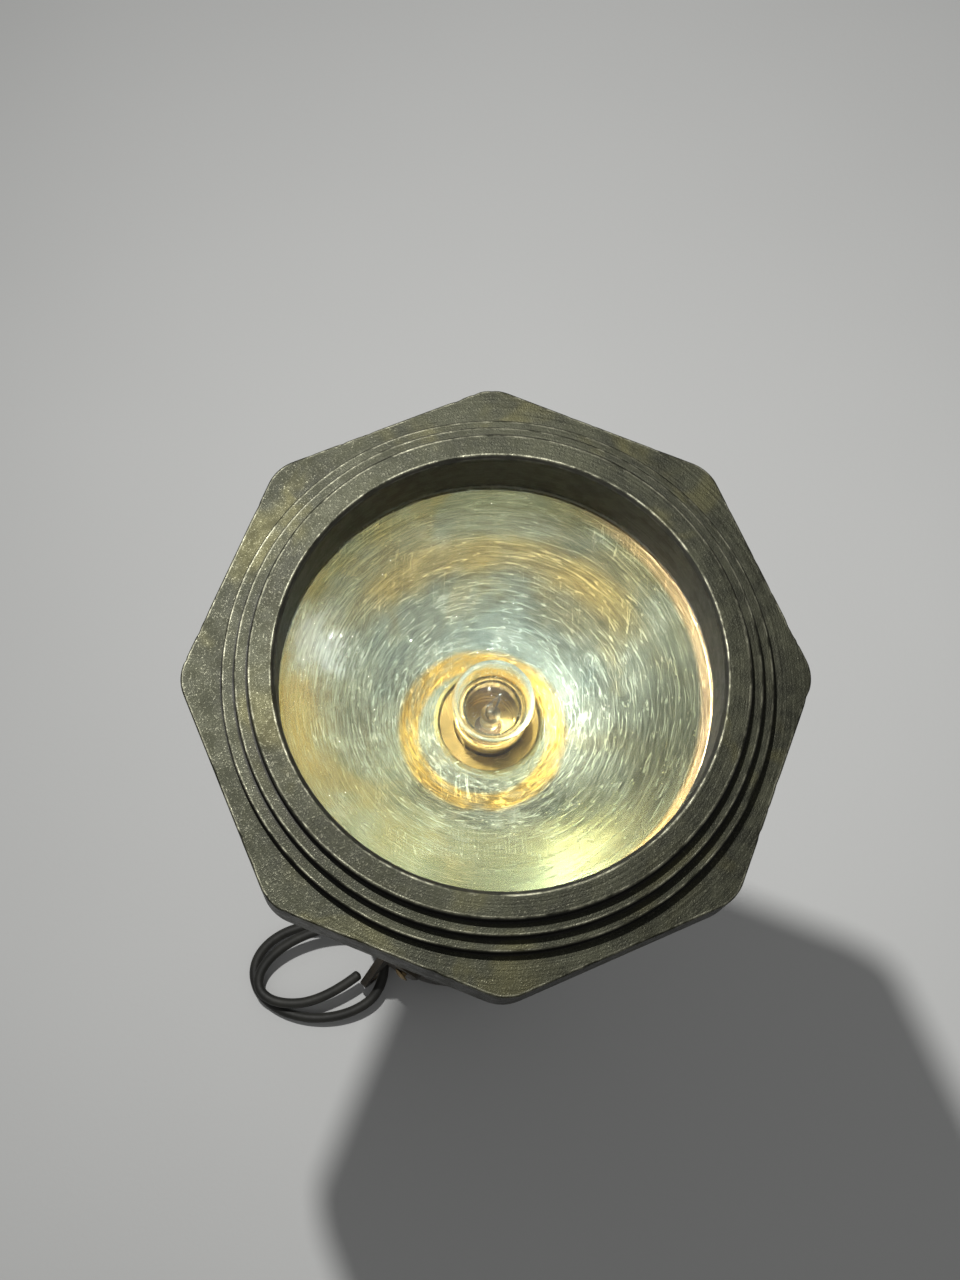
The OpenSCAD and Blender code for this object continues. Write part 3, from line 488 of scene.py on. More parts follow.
def reflectorFinish():
    # silver plate gone gold and grey-green: a mirror under a fine satin of rubbing marks, with painted
    # reflections (a brass ring round the hole, gold arcs, a gold rim edge), a painted highlight and painted
    # shade
    t = bowlTones
    f = Finish("tarnishedPlate", {"Metallic": 1.0})
    x, y, r = f.split("X"), f.split("Y"), f.radius()
    around = f.ringed(1.0, 0.0025)
    band = f.noise(75, 3, 0.55, distortion=0.8)
    # painted shade: a darker colour on the sides that face -Y and, less, -X and +X
    shadedFlanks = (x.maths("ABSOLUTE") - y.maths("ABSOLUTE")).step(0.0, 0.02, 0.0, 0.5)
    shadedSide = y.step(-0.021, 0.004, 0.92, 0.0).maths("MAXIMUM", shadedFlanks)
    gold = (band.step(0.36, 0.66) * 0.6 + r.step(0.012, 0.027) * 0.5).step(0.2, 1.0)
    tone = f.blend(gold, colour(*t["silver"]), colour(*t["gold"]))
    cold = f.noise(55, 3, 0.55).step(0.45, 0.65) * r.step(0.024, 0.014)
    tone = f.blend(cold * 0.7, tone, colour(*t["teal"]))
    haze = f.noise(150, 4, 0.6).step(0.45, 0.75)
    tone = f.blend(haze * 0.4, tone, colour(*t["haze"]))
    tone = f.blend(shadedSide, tone, colour(*t["shadedSide"]))
    # painted reflections: a gold band halfway up one side, and a gold edge along the rim of another
    arc = r.step(0.0185, 0.021) * r.step(0.0243, 0.0222) * (x + y).step(0.008, 0.024)
    arc = arc * (band * 0.8 + 0.3)
    tone = f.blend(arc, tone, colour(*t["arc"]))
    rim = r.step(0.0266, 0.0274) * (x - y).step(0.01, 0.034)
    tone = f.blend(rim, tone, colour(*t["rim"]))
    # a pale bluish-white patch near the rim: a painted highlight
    highlightX, highlightY = x - t["paintedHighlightPlace"][0], y - t["paintedHighlightPlace"][1]
    fromHighlight = (highlightX * highlightX + highlightY * highlightY) ** 0.5
    cloud = (fromHighlight + f.noise(260, 4, 0.6) * 0.008).step(0.0105, 0.0045)
    tone = f.blend(cloud * 0.8, tone, colour(*t["cloud"]))
    # a painted reflection of the bulb's brass: a ring off the centre, laid out as plating worn through to
    # the brass, with streaks along it
    fromX, fromY = x - t["brassReflectionPlace"][0], y - t["brassReflectionPlace"][1]
    away = (fromX * fromX + fromY * fromY) ** 0.5
    inside, low, high, outside = t["brassReflectionRadius"]
    streaks = f.noise(1500, 3, 0.6, around).step(0.35, 0.6)
    worn = away.step(inside, low) * away.step(high, outside, 1.0, 0.0) * (streaks * 0.5 + 0.5)
    worn = worn * f.noise(70, 3, 0.6).step(0.3, 0.42)
    tone = f.blend(worn, tone, colour(*t["brass"]))
    spots = f.noise(2300, 2, 0.6).step(0.66, 0.76)
    tone = f.blend(spots * 0.5, tone, colour(*t["spot"]))
    swirl = f.noise(3200, 3, 0.6, around)
    hair = f.noise(1500, 1, 0.4, f.ringed(1.0, 0.0018)).line(0.02)
    # long straight scratches in one slanting direction, broken up by a coarse noise
    slant = f.node("ShaderNodeCombineXYZ", None, {0: x - y, 1: (x + y) * 0.05})
    scratch = f.noise(700, 0, 0.4, slant).line(0.014) * f.noise(130, 2, 0.5).step(0.52, 0.6)
    waves = f.noise(230, 2, 0.5, f.ringed(1.0, 0.0012))
    relief = waves * 5 + swirl * 0.8 + hair * 0.4 + scratch * 0.5 + f.noise(420, 2, 0.5) * 0.8
    bent = f.bump(relief, 0.00002, 0.8)
    rough = haze * 0.08 + swirl * 0.06 + spots * 0.2 + t["smooth"]
    f.feed({"Base Color": tone, "Roughness": rough, "Normal": bent})
    share = swirl.step(0.4, 0.62, 0.02, 0.24) + haze * 0.08 + hair * 0.25 + scratch * 0.3 + cloud * 0.3
    f.mixed(share, "ShaderNodeBsdfPrincipled",
            {"Metallic": 1.0, "Roughness": t["rough"], "Base Color": tone, "Normal": bent})
    return f


bowlFinish = reflectorFinish()


def glassFinish(name, tint, roughness, specks=0.0, bubbles=0.0):
    # clear glass; lamps shine through it, so nothing behind it is left in a hard shadow
    f = Finish(name, {"Base Color": colour(*tint), "Transmission Weight": 1.0, "IOR": 1.46})
    smear = f.noise(55, 4, 0.6).step(0.45, 0.8)
    dust = f.noise(2600, 2, 0.7).step(0.64, 0.76)
    f.feed({"Roughness": smear * 0.03 + dust * specks + roughness})
    scratch = f.noise(300, 1, 0.4, distortion=1.2).line(0.006)
    f.feed({"Normal": f.bump(scratch * 0.6 + dust * 0.4 + f.noise(240, 2, 0.5) * bubbles, 0.000012, 0.4)})
    shadow = f.node("ShaderNodeLightPath", out="Is Shadow Ray")
    f.mixed(shadow, "ShaderNodeBsdfTransparent", {"Color": colour(*tint)})
    return f


lensFinish = glassFinish("lensGlass", (0.95, 0.97, 0.95), 0.0, 0.1)
globeFinish = glassFinish("bulbGlass", (0.96, 0.95, 0.88), 0.03, 0.4, 8.0)
stemFinish = glassFinish("stemGlass", (0.92, 0.9, 0.8), 0.15, 0.2)


def plainFinish(name, deep, pale, roughness, grain, relief, metallic=0.0, coat=0.0):
    # a moulded, rubber, card or fibre surface: cloudy tone and a fine grain
    f = Finish(name, {"Metallic": metallic, "Coat Weight": coat, "Coat Roughness": 0.25})
    cloud = f.noise(grain * 0.08, 4, 0.6).step(0.32, 0.7)
    fine = f.noise(grain, 3, 0.65)
    worn = f.mark("wear").step(0.4, 1.0) * f.noise(grain * 0.5, 3, 0.7).step(0.45, 0.65)
    tone = f.blend(cloud * 0.7 + fine * 0.3, colour(*deep), colour(*pale))
    tone = f.blend(worn * 0.6, tone, colour(*[min(1.0, c * 2.2 + 0.02) for c in pale]))
    # concave corners are darkened: dirt and painted shade
    tone = f.blend(f.mark("cornerDirtAndShade") * 0.6, tone, colour(*[c * 0.3 for c in deep]))
    f.feed({"Base Color": tone, "Roughness": fine * 0.2 + (roughness - 0.1)})
    f.feed({"Normal": f.bump(fine + f.noise(grain * 0.3, 3, 0.6), relief, 0.6)})
    return f


loopFinish = plainFinish("blackedWire", (0.011, 0.011, 0.009), (0.03, 0.029, 0.023), 0.6, 1600, 0.00006, 0.3)
rubberFinish = plainFinish("gasketRubber", (0.02, 0.02, 0.02), (0.045, 0.042, 0.04), 0.75, 1800, 0.00005)
fibreFinish = plainFinish("fibre", (0.06, 0.03, 0.018), (0.13, 0.07, 0.04), 0.7, 2400, 0.00005)
jacketFinish = plainFinish("cellJacket", (0.06, 0.09, 0.14), (0.13, 0.17, 0.24), 0.5, 1200, 0.00004,
                           coat=0.4)
knobFinish = plainFinish("knobBlack", (0.012, 0.012, 0.013), (0.035, 0.033, 0.032), 0.42, 1500, 0.00004,
                         coat=0.2)
buttonFinish = plainFinish("buttonRed", (0.14, 0.012, 0.01), (0.26, 0.03, 0.02), 0.4, 1500, 0.00004,
                           coat=0.3)
springFinish = plainFinish("springWire", (0.3, 0.3, 0.29), (0.5, 0.49, 0.46), 0.35, 1800, 0.00003, 1.0)
solderFinish = plainFinish("solder", (0.3, 0.3, 0.3), (0.52, 0.52, 0.5), 0.4, 1400, 0.00008, 1.0)
tungstenFinish = plainFinish("tungsten", (0.12, 0.12, 0.13), (0.3, 0.3, 0.32), 0.4, 4000, 0.00001, 1.0)

slotFinish = {
    "case_metal": shellFinish, "head_metal": shellFinish, "bezel_metal": bezelFinish,
    "ear_metal": sheetFinish, "rivet_metal": rivetFinish, "loop_wire": loopFinish,
    "contact_brass": contactFinish, "bulb_brass": canFinish, "spring_steel": springFinish,
    "fibre": fibreFinish, "cell_jacket": jacketFinish, "solder": solderFinish,
    "bulb_glass": globeFinish, "stem_glass": stemFinish, "tungsten": tungstenFinish,
    "reflector_plate": bowlFinish, "gasket_rubber": rubberFinish, "lens_glass": lensFinish,
    "knob_black": knobFinish, "button_red": buttonFinish,
}
ownFinish = {"bulb_socket": socketFinish}
for part in frame["record"]["subparts"]:
    piece = nodes[part["node"]]
    material = ownFinish.get(part["node"], slotFinish[part["material_slot"]]).material
    if not piece.data.materials:
        piece.data.materials.append(material)
    for holder in piece.material_slots:
        holder.material = material
print("finishes made")

bezel = {
    "flats": 37.25, "cornerRound": 5.6, "turn": 1.3, "thick": 8.0, "skirtIn": 31.5, "skirtOut": 33.4,
    "stepRadii": (34.7, 33.0, 31.3), "stepHeight": 1.6, "mouth": 27.85, "mouthDepth": 8.6, "mouthEdge": 0.5,
    "grooveDepth": 0.4, "grooveWidth": 1.4, "knocks": 46, "knockDepth": (0.004, 0.02),
    "knockWidth": (0.04, 0.16), "rimBand": 1.2, "fade": 1.5,
}


def octagonRadius(angle):
    # distance from the axis to the rounded eight-sided outline, in mm, at each angle
    side = bezel["flats"]
    rounding = bezel["cornerRound"]
    mid = (side - rounding) / math.cos(math.pi / 8)
    off = np.abs((angle - math.radians(bezel["turn"]) + math.pi / 8) % (math.pi / 4) - math.pi / 8)
    touch = math.atan2(rounding * math.sin(math.pi / 8), mid + rounding * math.cos(math.pi / 8))
    flat = side / np.cos(math.pi / 8 - off)
    bent = mid * np.cos(off) + np.sqrt(np.maximum(rounding ** 2 - (mid * np.sin(off)) ** 2, 0))
    return np.where(off < touch, bent, flat)


def makeBezel():
    b = bezel
    foot, top = levels("bezel")
    ringTop = top - b["stepHeight"] * len(b["stepRadii"])
    side = b["flats"] / math.cos(math.pi / 8)
    corners = [(b["skirtIn"], foot, 0.3), (b["skirtOut"], foot, 0.4)]
    for i in (1, 2):
        corners += groove(b["skirtOut"], foot + 2 * i * b["grooveWidth"], b["grooveWidth"],
                          b["grooveDepth"], 0.12)
    corners += [(b["skirtOut"], ringTop - b["thick"], 0.3), (side, ringTop - b["thick"], 0.4),
                (side, ringTop, 0.22)]
    for i, r in enumerate(b["stepRadii"]):
        corners += [(r, corners[-1][1], 0.14), (r, ringTop + (i + 1) * b["stepHeight"], 0.22)]
    corners[-1] = (*corners[-1][:2], 0.3)
    corners += [(b["mouth"] + b["mouthEdge"], top, 0.25), (b["mouth"], top - b["mouthEdge"], 0.25),
                (b["mouth"], top - b["mouthDepth"], 0.12), (b["skirtIn"], top - b["mouthDepth"], 0.3)]
    outer = side * mm
    inner = b["stepRadii"][0] * mm
    band, fade = b["rimBand"] * mm, b["fade"] * mm
    knocks = [(a, rng.uniform(*b["knockDepth"]), rng.uniform(*b["knockWidth"]))
              for a in rng.uniform(0, fullTurn, b["knocks"])]

    def shape(angle, r, z):
        # radii past the lowest step follow the eight-sided outline: the rim moves all of the way
        rim = octagonRadius(angle) * mm
        share = np.clip((r - inner) / (outer - inner), 0, None)
        spread = np.where(r > inner + 1e-5, inner + (rim - inner) * share, r)
        edge = np.where(r > outer - band, rim - (outer - r), spread)
        # small knocks: shallow dents in the rim
        dents = sum(depth * mm * np.exp(-(((angle - a + math.pi) % fullTurn - math.pi) / w) ** 2)
                    for a, w, depth in knocks)
        height = np.clip((z - ringTop * mm + band) / band, 0, 1)
        return edge - dents * np.clip((r - outer + fade) / fade, 0, 1) * height, z

    return turned("frontRing", corners, bezelFinish, "front_ring", "bezel_metal", ("bezel",), around=512,
                  longest=1.2, shape=shape)


makeBezel()
print("front ring made")

lens = {"radius": 30.6, "edge": 0.25, "sealIn": 28.3, "sealOut": 30.35, "around": 144}


def makeLens():
    g = lens
    low, high = levels("lens")
    corners = [(0, low, 0), (g["radius"], low, g["edge"]), (g["radius"], high, g["edge"]), (0, high, 0)]
    turned("lensDisc", corners, lensFinish, "lens_stack", "lens_glass", ("lens",), around=g["around"],
           closed=False)
    low, high = levels("lens_gasket")
    corners = [(g["sealIn"], low, 0.15), (g["sealOut"], low, 0.2), (g["sealOut"], high, 0.2),
               (g["sealIn"], high, 0.15)]
    turned("lensSeal", corners, rubberFinish, "lens_stack", "gasket_rubber", ("lens_gasket",),
           around=g["around"])


makeLens()

bowl = {"hole": 7.05, "rim": 28.0, "wall": 0.6, "flange": 30.4, "neck": 7.0, "rings": 40}


def makeReflector():
    b = bowl
    foot, rimHeight = levels("reflector")
    holeHeight = foot + b["neck"]
    focus = (b["rim"] ** 2 - b["hole"] ** 2) / (4 * (rimHeight - holeHeight))
    r = np.linspace(b["hole"] + 0.25, b["rim"] - 0.3, b["rings"])
    z = holeHeight + (r ** 2 - b["hole"] ** 2) / (4 * focus)
    wall = b["wall"] * np.sqrt(1 + (r / (2 * focus)) ** 2)
    # anticlockwise: outside of the bowl upwards, then the flange, then the inner face downwards
    corners = [(b["hole"], foot, 0.1), (b["hole"] + b["wall"], foot, 0.2)]
    outerR = r[2:-1] + 0.25
    outerZ = holeHeight + (outerR ** 2 - b["hole"] ** 2) / (4 * focus) - wall[2:-1]
    corners += [(b["hole"] + b["wall"], outerZ[0] - 0.5, 0.3)]
    corners += [(x, y, 0) for x, y in zip(outerR, outerZ)]
    corners += [(b["rim"] + 0.6, rimHeight - b["wall"], 0.2), (b["flange"], rimHeight - b["wall"], 0.2),
                (b["flange"], rimHeight, 0.2), (b["rim"], rimHeight, 0.25)]
    corners += [(x, y, 0) for x, y in zip(r[::-1], z[::-1])]
    corners += [(b["hole"], holeHeight - 0.2, 0.15)]
    turned("reflectorBowl", corners, bowlFinish, "tube", "reflector_plate", ("reflector",), around=240,
           longest=2.0)


makeReflector()
print("glass and reflector made")

bulb = {
    "globe": 5.5, "neck": 4.25, "glass": 0.5, "can": 4.75, "canIn": 4.36, "rim": 5.05, "rimHeight": 0.6,
    "thread": 0.22, "pitch": 1.81, "threads": (2.2, 8.6), "stem": 1.5, "leads": 1.1, "filamentReach": 1.5,
    "coils": 11, "coilRadius": 0.16, "filamentWire": 0.035, "leadWire": 0.17, "sag": 0.35,
    "canHole": 2.3, "canFloor": 1.0, "stemDrop": 5.3, "leadSeat": 0.45, "leadBow": 0.35,
}


def globeProfile(inset, foot, top):
    # half outline of the glass, in mm: a round globe that runs down into a straight neck
    b = bulb
    r, neck = b["globe"] - inset, b["neck"] - inset
    centre = top - b["globe"]
    low = -math.acos(neck / r)
    a = np.linspace(low, math.pi / 2, 28)
    globe = [(r * math.cos(t), centre + r * math.sin(t), 0) for t in a[1:]]
    return [(neck, foot, 0.1), (neck, centre + r * math.sin(low), 1.2)] + globe[2:]


def makeBulb():
    b = bulb
    foot, top = levels("bulb_glass")
    outside = globeProfile(0, foot, top)
    floorHeight = foot + 3 * b["glass"]
    inside = globeProfile(b["glass"], floorHeight, top)
    outside[-1], inside[-1] = (0, *outside[-1][1:]), (0, *inside[-1][1:])
    inside = ([(0, floorHeight, 0)] + inside)[::-1]
    shells = [turnedMesh("glassOut", [(0, foot, 0)] + outside, around=96, closed=False, longest=1.0),
              turnedMesh("glassIn", inside, around=96, closed=False, longest=1.0)]
    joined("bulbGlobe", shells, globeFinish, "tube", ("bulb_glass",))

    foot, top = levels("bulb_base")
    screw = [foot + z for z in b["threads"]]

    def threaded(angle, r, z):
        # a rolled round thread on the can's wall, which fades out at both its ends
        inThread = np.clip((z / mm - screw[0]) / 0.8, 0, 1) * np.clip((screw[1] - z / mm) / 0.8, 0, 1)
        wave = 0.5 - 0.5 * np.cos(fullTurn * (z / mm / b["pitch"]) - angle)
        return np.where(r > 3 * mm, r - inThread * wave * b["thread"] * mm, r), z

    floorHeight, rimFoot = foot + b["canFloor"], top - b["rimHeight"]
    corners = [(b["canIn"], top, 0.1), (b["canIn"], floorHeight, 0.1), (b["canHole"], floorHeight, 0.1),
               (b["canHole"], foot, 0.15), (b["can"], foot, 0.5), (b["can"], rimFoot, 0.2),
               (b["rim"], rimFoot, 0.2), (b["rim"], top, 0.28)]
    turned("bulbCan", corners, canFinish, "tube", "bulb_brass", ("bulb_base",), around=96, longest=0.22,
           shape=threaded)

    low, high = levels("filament")
    height = (low + high) / 2
    foot = levels("bulb_stem")[0]
    stemTop = low - b["stemDrop"]
    # a rod with a pinched top, where the leads are sealed in
    corners = [(0, foot, 0), (b["stem"], foot, 0.3), (b["stem"], stemTop - 1.6, 0.6),
               (0.7, stemTop - 0.9, 0.5), (0.9, stemTop - 0.3, 0.5), (0, stemTop, 0)]
    turned("bulbStem", corners, stemFinish, "tube", "stem_glass", ("bulb_stem",), around=48, closed=False,
           longest=0.5)
    leads = []
    for side in (-1, 1):
        # a lead: a straight line from the stem to the filament, bowed outwards by half a sine wave
        t = np.linspace(0, 1, 16)[:, None]
        start = np.array([side * b["leadSeat"], 0, stemTop - 2.0])
        end = np.array([side * b["leads"], 0, height])
        path = start + (end - start) * t + np.array([side * b["leadBow"], 0, 0]) * np.sin(math.pi * t)
        leads.append(wireMesh("lead", path * mm, b["leadWire"] * mm, 8))
    joined("leadWires", leads, tungstenFinish, "tube")
    # the filament's coil: (along, radius cos, radius sin) of an even spiral that sags like a cosine
    t = np.linspace(0, 1, b["coils"] * 12 + 1)
    swell = b["coilRadius"] * np.clip(np.minimum(t, 1 - t) * 12, 0.1, 1)
    along = (t - 0.5) * 2 * b["filamentReach"]
    level = height - 0.3 + b["sag"] * np.cos(math.pi * (t - 0.5))
    turn = fullTurn * b["coils"] * t
    coil = np.stack([along, swell * np.cos(turn), level + swell * np.sin(turn)], 1)
    joined("filamentCoil", [wireMesh("coil", coil * mm, b["filamentWire"] * mm, 6)],
           tungstenFinish, "tube", ("filament",))


makeBulb()
print("bulb made")

head = {
    "neckIn": 18.16, "neckOut": 19.15, "rimOut": 33.8, "wall": 1.0, "rim": 3.0, "bellFoot": 142.25,
    "neckFoot": 125.25, "threadOut": 31.2, "threadIn": 29.6, "steps": 28, "gap": 0.3,
    "bead": ((1.6, 0, 0.4), (2.2, 0.35, 0.3), (3.2, 0.35, 0.3), (3.8, 0, 0.4)),   # (height, bulge, rounding)
    "turns": 6, "firstTurn": 0.8, "pitch": 1.5, "threadDepth": 0.35, "seatIn": 17.55, "seat": 1.0,
}


def bellCurve(h, rimFoot, grow):
    # two equal arcs that join smoothly, out of the neck and up into the rim; grow moves them outwards
    spread, rise = h["rimOut"] - h["neckOut"], rimFoot - h["bellFoot"]
    sweep = 2 * math.atan(spread / rise)
    radius = rise / (2 * math.sin(sweep))
    a = np.linspace(0, sweep, h["steps"])
    lower = [(h["neckOut"] + radius - (radius - grow) * math.cos(t),
              h["bellFoot"] + (radius - grow) * math.sin(t), 0) for t in a]
    upper = [(h["rimOut"] - radius + (radius + grow) * math.cos(t),
              rimFoot - (radius + grow) * math.sin(t), 0) for t in a[::-1][1:]]
    return lower + upper


def makeHead():
    h = head
    rimTop = levels("bezel")[0] - h["gap"]
    rimFoot = rimTop - h["rim"]
    threadTop = levels("head_shell")[1]
    outside = bellCurve(h, rimFoot, 0.0)
    inside = bellCurve(h, rimFoot, -h["wall"])
    corners = [(h["neckIn"], h["neckFoot"], 0.15), (h["neckOut"], h["neckFoot"], 0.5)]
    # a spun bead above the neck's foot
    corners += [(h["neckOut"] + bulge, h["neckFoot"] + z, rounding) for z, bulge, rounding in h["bead"]]
    corners += outside + [(h["rimOut"], rimTop, 0.5), (h["threadOut"], rimTop, 0.2)]
    # the rolled thread that takes the front ring
    for i in range(h["turns"]):
        z = rimTop + h["firstTurn"] + i * h["pitch"]
        corners += [(h["threadOut"] - h["threadDepth"], z, 0.25), (h["threadOut"], z + h["pitch"] / 2, 0.25)]
    corners += [(h["threadOut"] - 0.1, threadTop, 0.2), (h["threadIn"], threadTop, 0.2)]
    corners += [(h["threadIn"], rimTop, 0.4)] + inside[::-1]
    seatFoot = h["bellFoot"] - h["seat"]
    corners += [(h["seatIn"], h["bellFoot"], 0.2), (h["seatIn"], seatFoot, 0.2),
                (h["neckIn"], seatFoot, 0.2)]
    turned("headShell", corners, shellFinish, "tube", "head_metal", ("head_shell",), around=220,
           longest=2.0)


makeHead()
print("head made")

case = {
    "in": 17.4, "out": 18.1, "beadHeight": 0.6, "beadWidth": 2.4, "beadSlope": 0.55,
    "beads": (32.2, 37.0, 121.65), "slotHeight": 95.0, "slotHalf": (6.2, 2.2), "rivetHole": 0.95,
    "rivetHeights": (70.4, 113.6), "cutFrom": -12.0, "cutTo": -25.0,
}


def makeBarrel():
    c = case
    foot, top = levels("barrel")
    corners = [(c["in"], foot, 0.15), (c["out"], foot, 0.3)]
    for z in c["beads"]:
        crest, slope, end = c["out"] + c["beadHeight"], c["beadSlope"], z + c["beadWidth"]
        corners += [(c["out"], z, 0.5), (crest, z + slope, 0.45), (crest, end - slope, 0.45),
                    (c["out"], end, 0.5)]
    corners += [(c["out"], top, 0.3), (c["in"], top, 0.15)]
    barrel = turned("barrelTube", corners, shellFinish, "tube", "case_metal", ("barrel",), around=200)
    # the switch's slot and its rivet holes are cut through the wall
    cutters = [cutter("slotCut", c["slotHeight"], *c["slotHalf"])]
    cutters += [cutter("rivetCut", z, c["rivetHole"], c["rivetHole"]) for z in c["rivetHeights"]]
    for tool in cutters:
        cut = barrel.modifiers.new("cut", "BOOLEAN")
        cut.object = tool
        cut.solver = "EXACT"
    graph = bpy.context.evaluated_depsgraph_get()
    done = bpy.data.meshes.new_from_object(barrel.evaluated_get(graph))
    barrel.modifiers.clear()
    barrel.data = done
    for tool in cutters:
        bpy.data.objects.remove(tool)


def cutter(name, height, halfLong, halfWide):
    # a stadium-shaped bar along Y: half a turn of each end, its middle at the given height
    a = np.linspace(0, fullTurn, 48, endpoint=False)
    x = halfWide * np.cos(a)
    z = halfWide * np.sin(a) + np.sign(np.sin(a)) * (halfLong - halfWide) + height
    ring = np.stack([x, np.zeros_like(a), z], -1)
    near, far = case["cutFrom"], case["cutTo"]
    rows = [ring * 0 + [0, near, height], ring + [0, near, 0], ring + [0, far, 0],
            ring * 0 + [0, far, height]]
    mesh = meshOf(name, np.stack(rows) * mm, (False, True))
    tidyMesh(mesh)
    tool = bpy.data.objects.new(name, mesh)
    bpy.context.scene.collection.objects.link(tool)
    return tool


makeBarrel()

tail = {
    "out": 19.5, "in": 18.4, "foot": 15.5, "footEdge": 0.8, "shoulder": 3.0, "fillet": 1.0,
    "footHeight": 9.5, "wall": 1.1, "grooves": (24.6, 27.2), "grooveWidth": 1.4, "grooveDepth": 0.4,
    "channel": (3.2, 2.6, 1.8, 1.2), "channelDepth": 0.45,   # a shallow ring in the foot's underside
}


def makeTailCap():
    t = tail
    low, top = levels("tail_cap")
    depths = (0, t["channelDepth"], t["channelDepth"], 0)
    corners = [(0, low, 0)] + [(t["foot"] - r, low + z, 0.4) for r, z in zip(t["channel"], depths)]
    corners += [(t["foot"], low, t["footEdge"]), (t["foot"], t["footHeight"], t["fillet"]),
                (t["out"], t["footHeight"], t["shoulder"])]
    for z in t["grooves"]:
        corners += groove(t["out"], z, t["grooveWidth"], t["grooveDepth"], 0.15)
    innerFoot, innerStep = t["foot"] - t["wall"], t["footHeight"] + t["wall"]
    corners += [(t["out"], top, 0.5), (t["in"], top, 0.15), (t["in"], innerStep, t["shoulder"] - t["wall"]),
                (innerFoot, innerStep, 0.3), (innerFoot, t["wall"], 0.4), (0, t["wall"], 0)]
    turned("tailCap", corners, shellFinish, "base", "case_metal", ("tail_cap",), around=200, closed=False,
           steps=8)


makeTailCap()
print("barrel and tail cap made")

fittings = {
    "plateEdge": 0.5, "earEdge": 0.3, "knobEdge": 0.3, "shank": 0.9,
    # (start, face, head radius, dome height) of a rivet, outwards from the axis
    "plateRivet": (17.1, 22.35, 1.8, 0.85), "plateRivets": (70.4, 113.6),
    "earRivet": (17.95, 20.29, 1.7, 0.75), "earRivetSide": 5.25, "earRivetHeight": 19.5,
    "buttonRadius": 4.0, "buttonFlange": 4.8, "flange": 0.7, "buttonHeight": 80.0, "buttonFace": 24.5,
    "buttonDome": 0.75,
}


def alongMinusY(height):
    # turns the axis of a turned piece from +Z to -Y, at this height
    return lambda p: np.stack([p[..., 0], -p[..., 2], p[..., 1] + height * mm], -1)


def alongMinusX(side, height):
    # turns the axis of a turned piece from +Z to -X, at this place
    return lambda p: np.stack([-p[..., 2], p[..., 1] + side * mm, p[..., 0] + height * mm], -1)


def rivetMesh(sizes, seat):
    # a shank and a domed head: the dome's height falls with the square of the radius
    start, face, r, dome = sizes
    shank = fittings["shank"]
    corners = [(0, start, 0), (shank, start, 0.1), (shank, face, 0.05), (r, face, 0.08),
               (r, face + 0.22 * dome, 0.12)]
    corners += [(r * s, face + dome * (1 - 0.75 * s ** 2), 0) for s in (0.92, 0.75, 0.5, 0.25)]
    corners += [(0, face + dome, 0)]
    return turnedMesh("rivet", corners, around=40, closed=False, longest=1.0, seat=seat)


def makeFittings():
    f = fittings
    bevelled("switchPlate", "switch_plate", sheetFinish, "tube", f["plateEdge"])
    bevelled("earPlate", "ring_ear", sheetFinish, "base", f["earEdge"])
    bevelled("slideKnob", "slide_knob", knobFinish, "knob", f["knobEdge"])
    plateRivets = [rivetMesh(f["plateRivet"], alongMinusY(z)) for z in f["plateRivets"]]
    joined("plateRivets", plateRivets, rivetFinish, "tube", ("switch_rivets",))
    earRivets = [rivetMesh(f["earRivet"], alongMinusX(side * f["earRivetSide"], f["earRivetHeight"]))
                 for side in (-1, 1)]
    joined("earRivets", earRivets, rivetFinish, "base", ("ear_rivets",))
    # the button: a flange, a short post and a dome that falls with the square of the radius
    face, r, dome = f["buttonFace"], f["buttonRadius"], f["buttonDome"]
    low = -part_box("flash_button")[1][1] / mm
    flangeTop = low + f["flange"]
    corners = [(0, low, 0), (f["buttonFlange"], low, 0.1), (f["buttonFlange"], flangeTop, 0.1),
               (r, flangeTop, 0.1), (r, face - dome - 0.2, 0.3)]
    corners += [(r * s, face - dome * s ** 2, 0) for s in (0.9, 0.7, 0.5, 0.25)] + [(0, face, 0)]
    turned("flashButton", corners, buttonFinish, "button", "button_red", ("flash_button",), around=64,
           closed=False, longest=1.0, seat=alongMinusY(f["buttonHeight"]))


makeFittings()
print("switch, ear and rivets made")

spring = {"wire": 1.1, "low": 22.0, "top": 10.0, "curls": 4, "height": 11.4, "perCurl": 48, "sides": 12}


def makeSpring():
    # a cone of curls: the radius shrinks and the height grows evenly with the angle
    s = spring
    foot = levels("tail_spring")[0]
    t = np.linspace(0, s["curls"], s["curls"] * s["perCurl"] + 1)
    r = (s["low"] + (s["top"] - s["low"]) * t / s["curls"]) / 2
    z = foot + s["wire"] / 2 + (s["height"] - s["wire"]) * t / s["curls"]
    path = np.stack([r * np.cos(fullTurn * t), r * np.sin(fullTurn * t), z], 1)
    curls = wireMesh("curls", path * mm, s["wire"] / 2 * mm, s["sides"])
    joined("tailSpring", [curls], springFinish, "base", ("tail_spring",))


makeSpring()

loop = {
    "eye": (-21.7, 0.0, 6.7), "wire": 2.2, "outer": (29.4, 20.2), "inner": (27.8, 14.2), "rise": 2.8,
    "past": 1.2, "short": 0.95, "yaw": 42.5, "innerYaw": 18.5, "innerShift": 1.35, "endBend": 1.0,
    "bendStart": 600.0, "gap": 0.05, "cross": 45.0, "start": 60.0, "end": 660.0, "steps": 200, "sides": 20,
}


def eased(t):
    # smooth step from 0 to 1
    t = np.clip(t, 0, 1)
    return t * t * (3 - 2 * t)


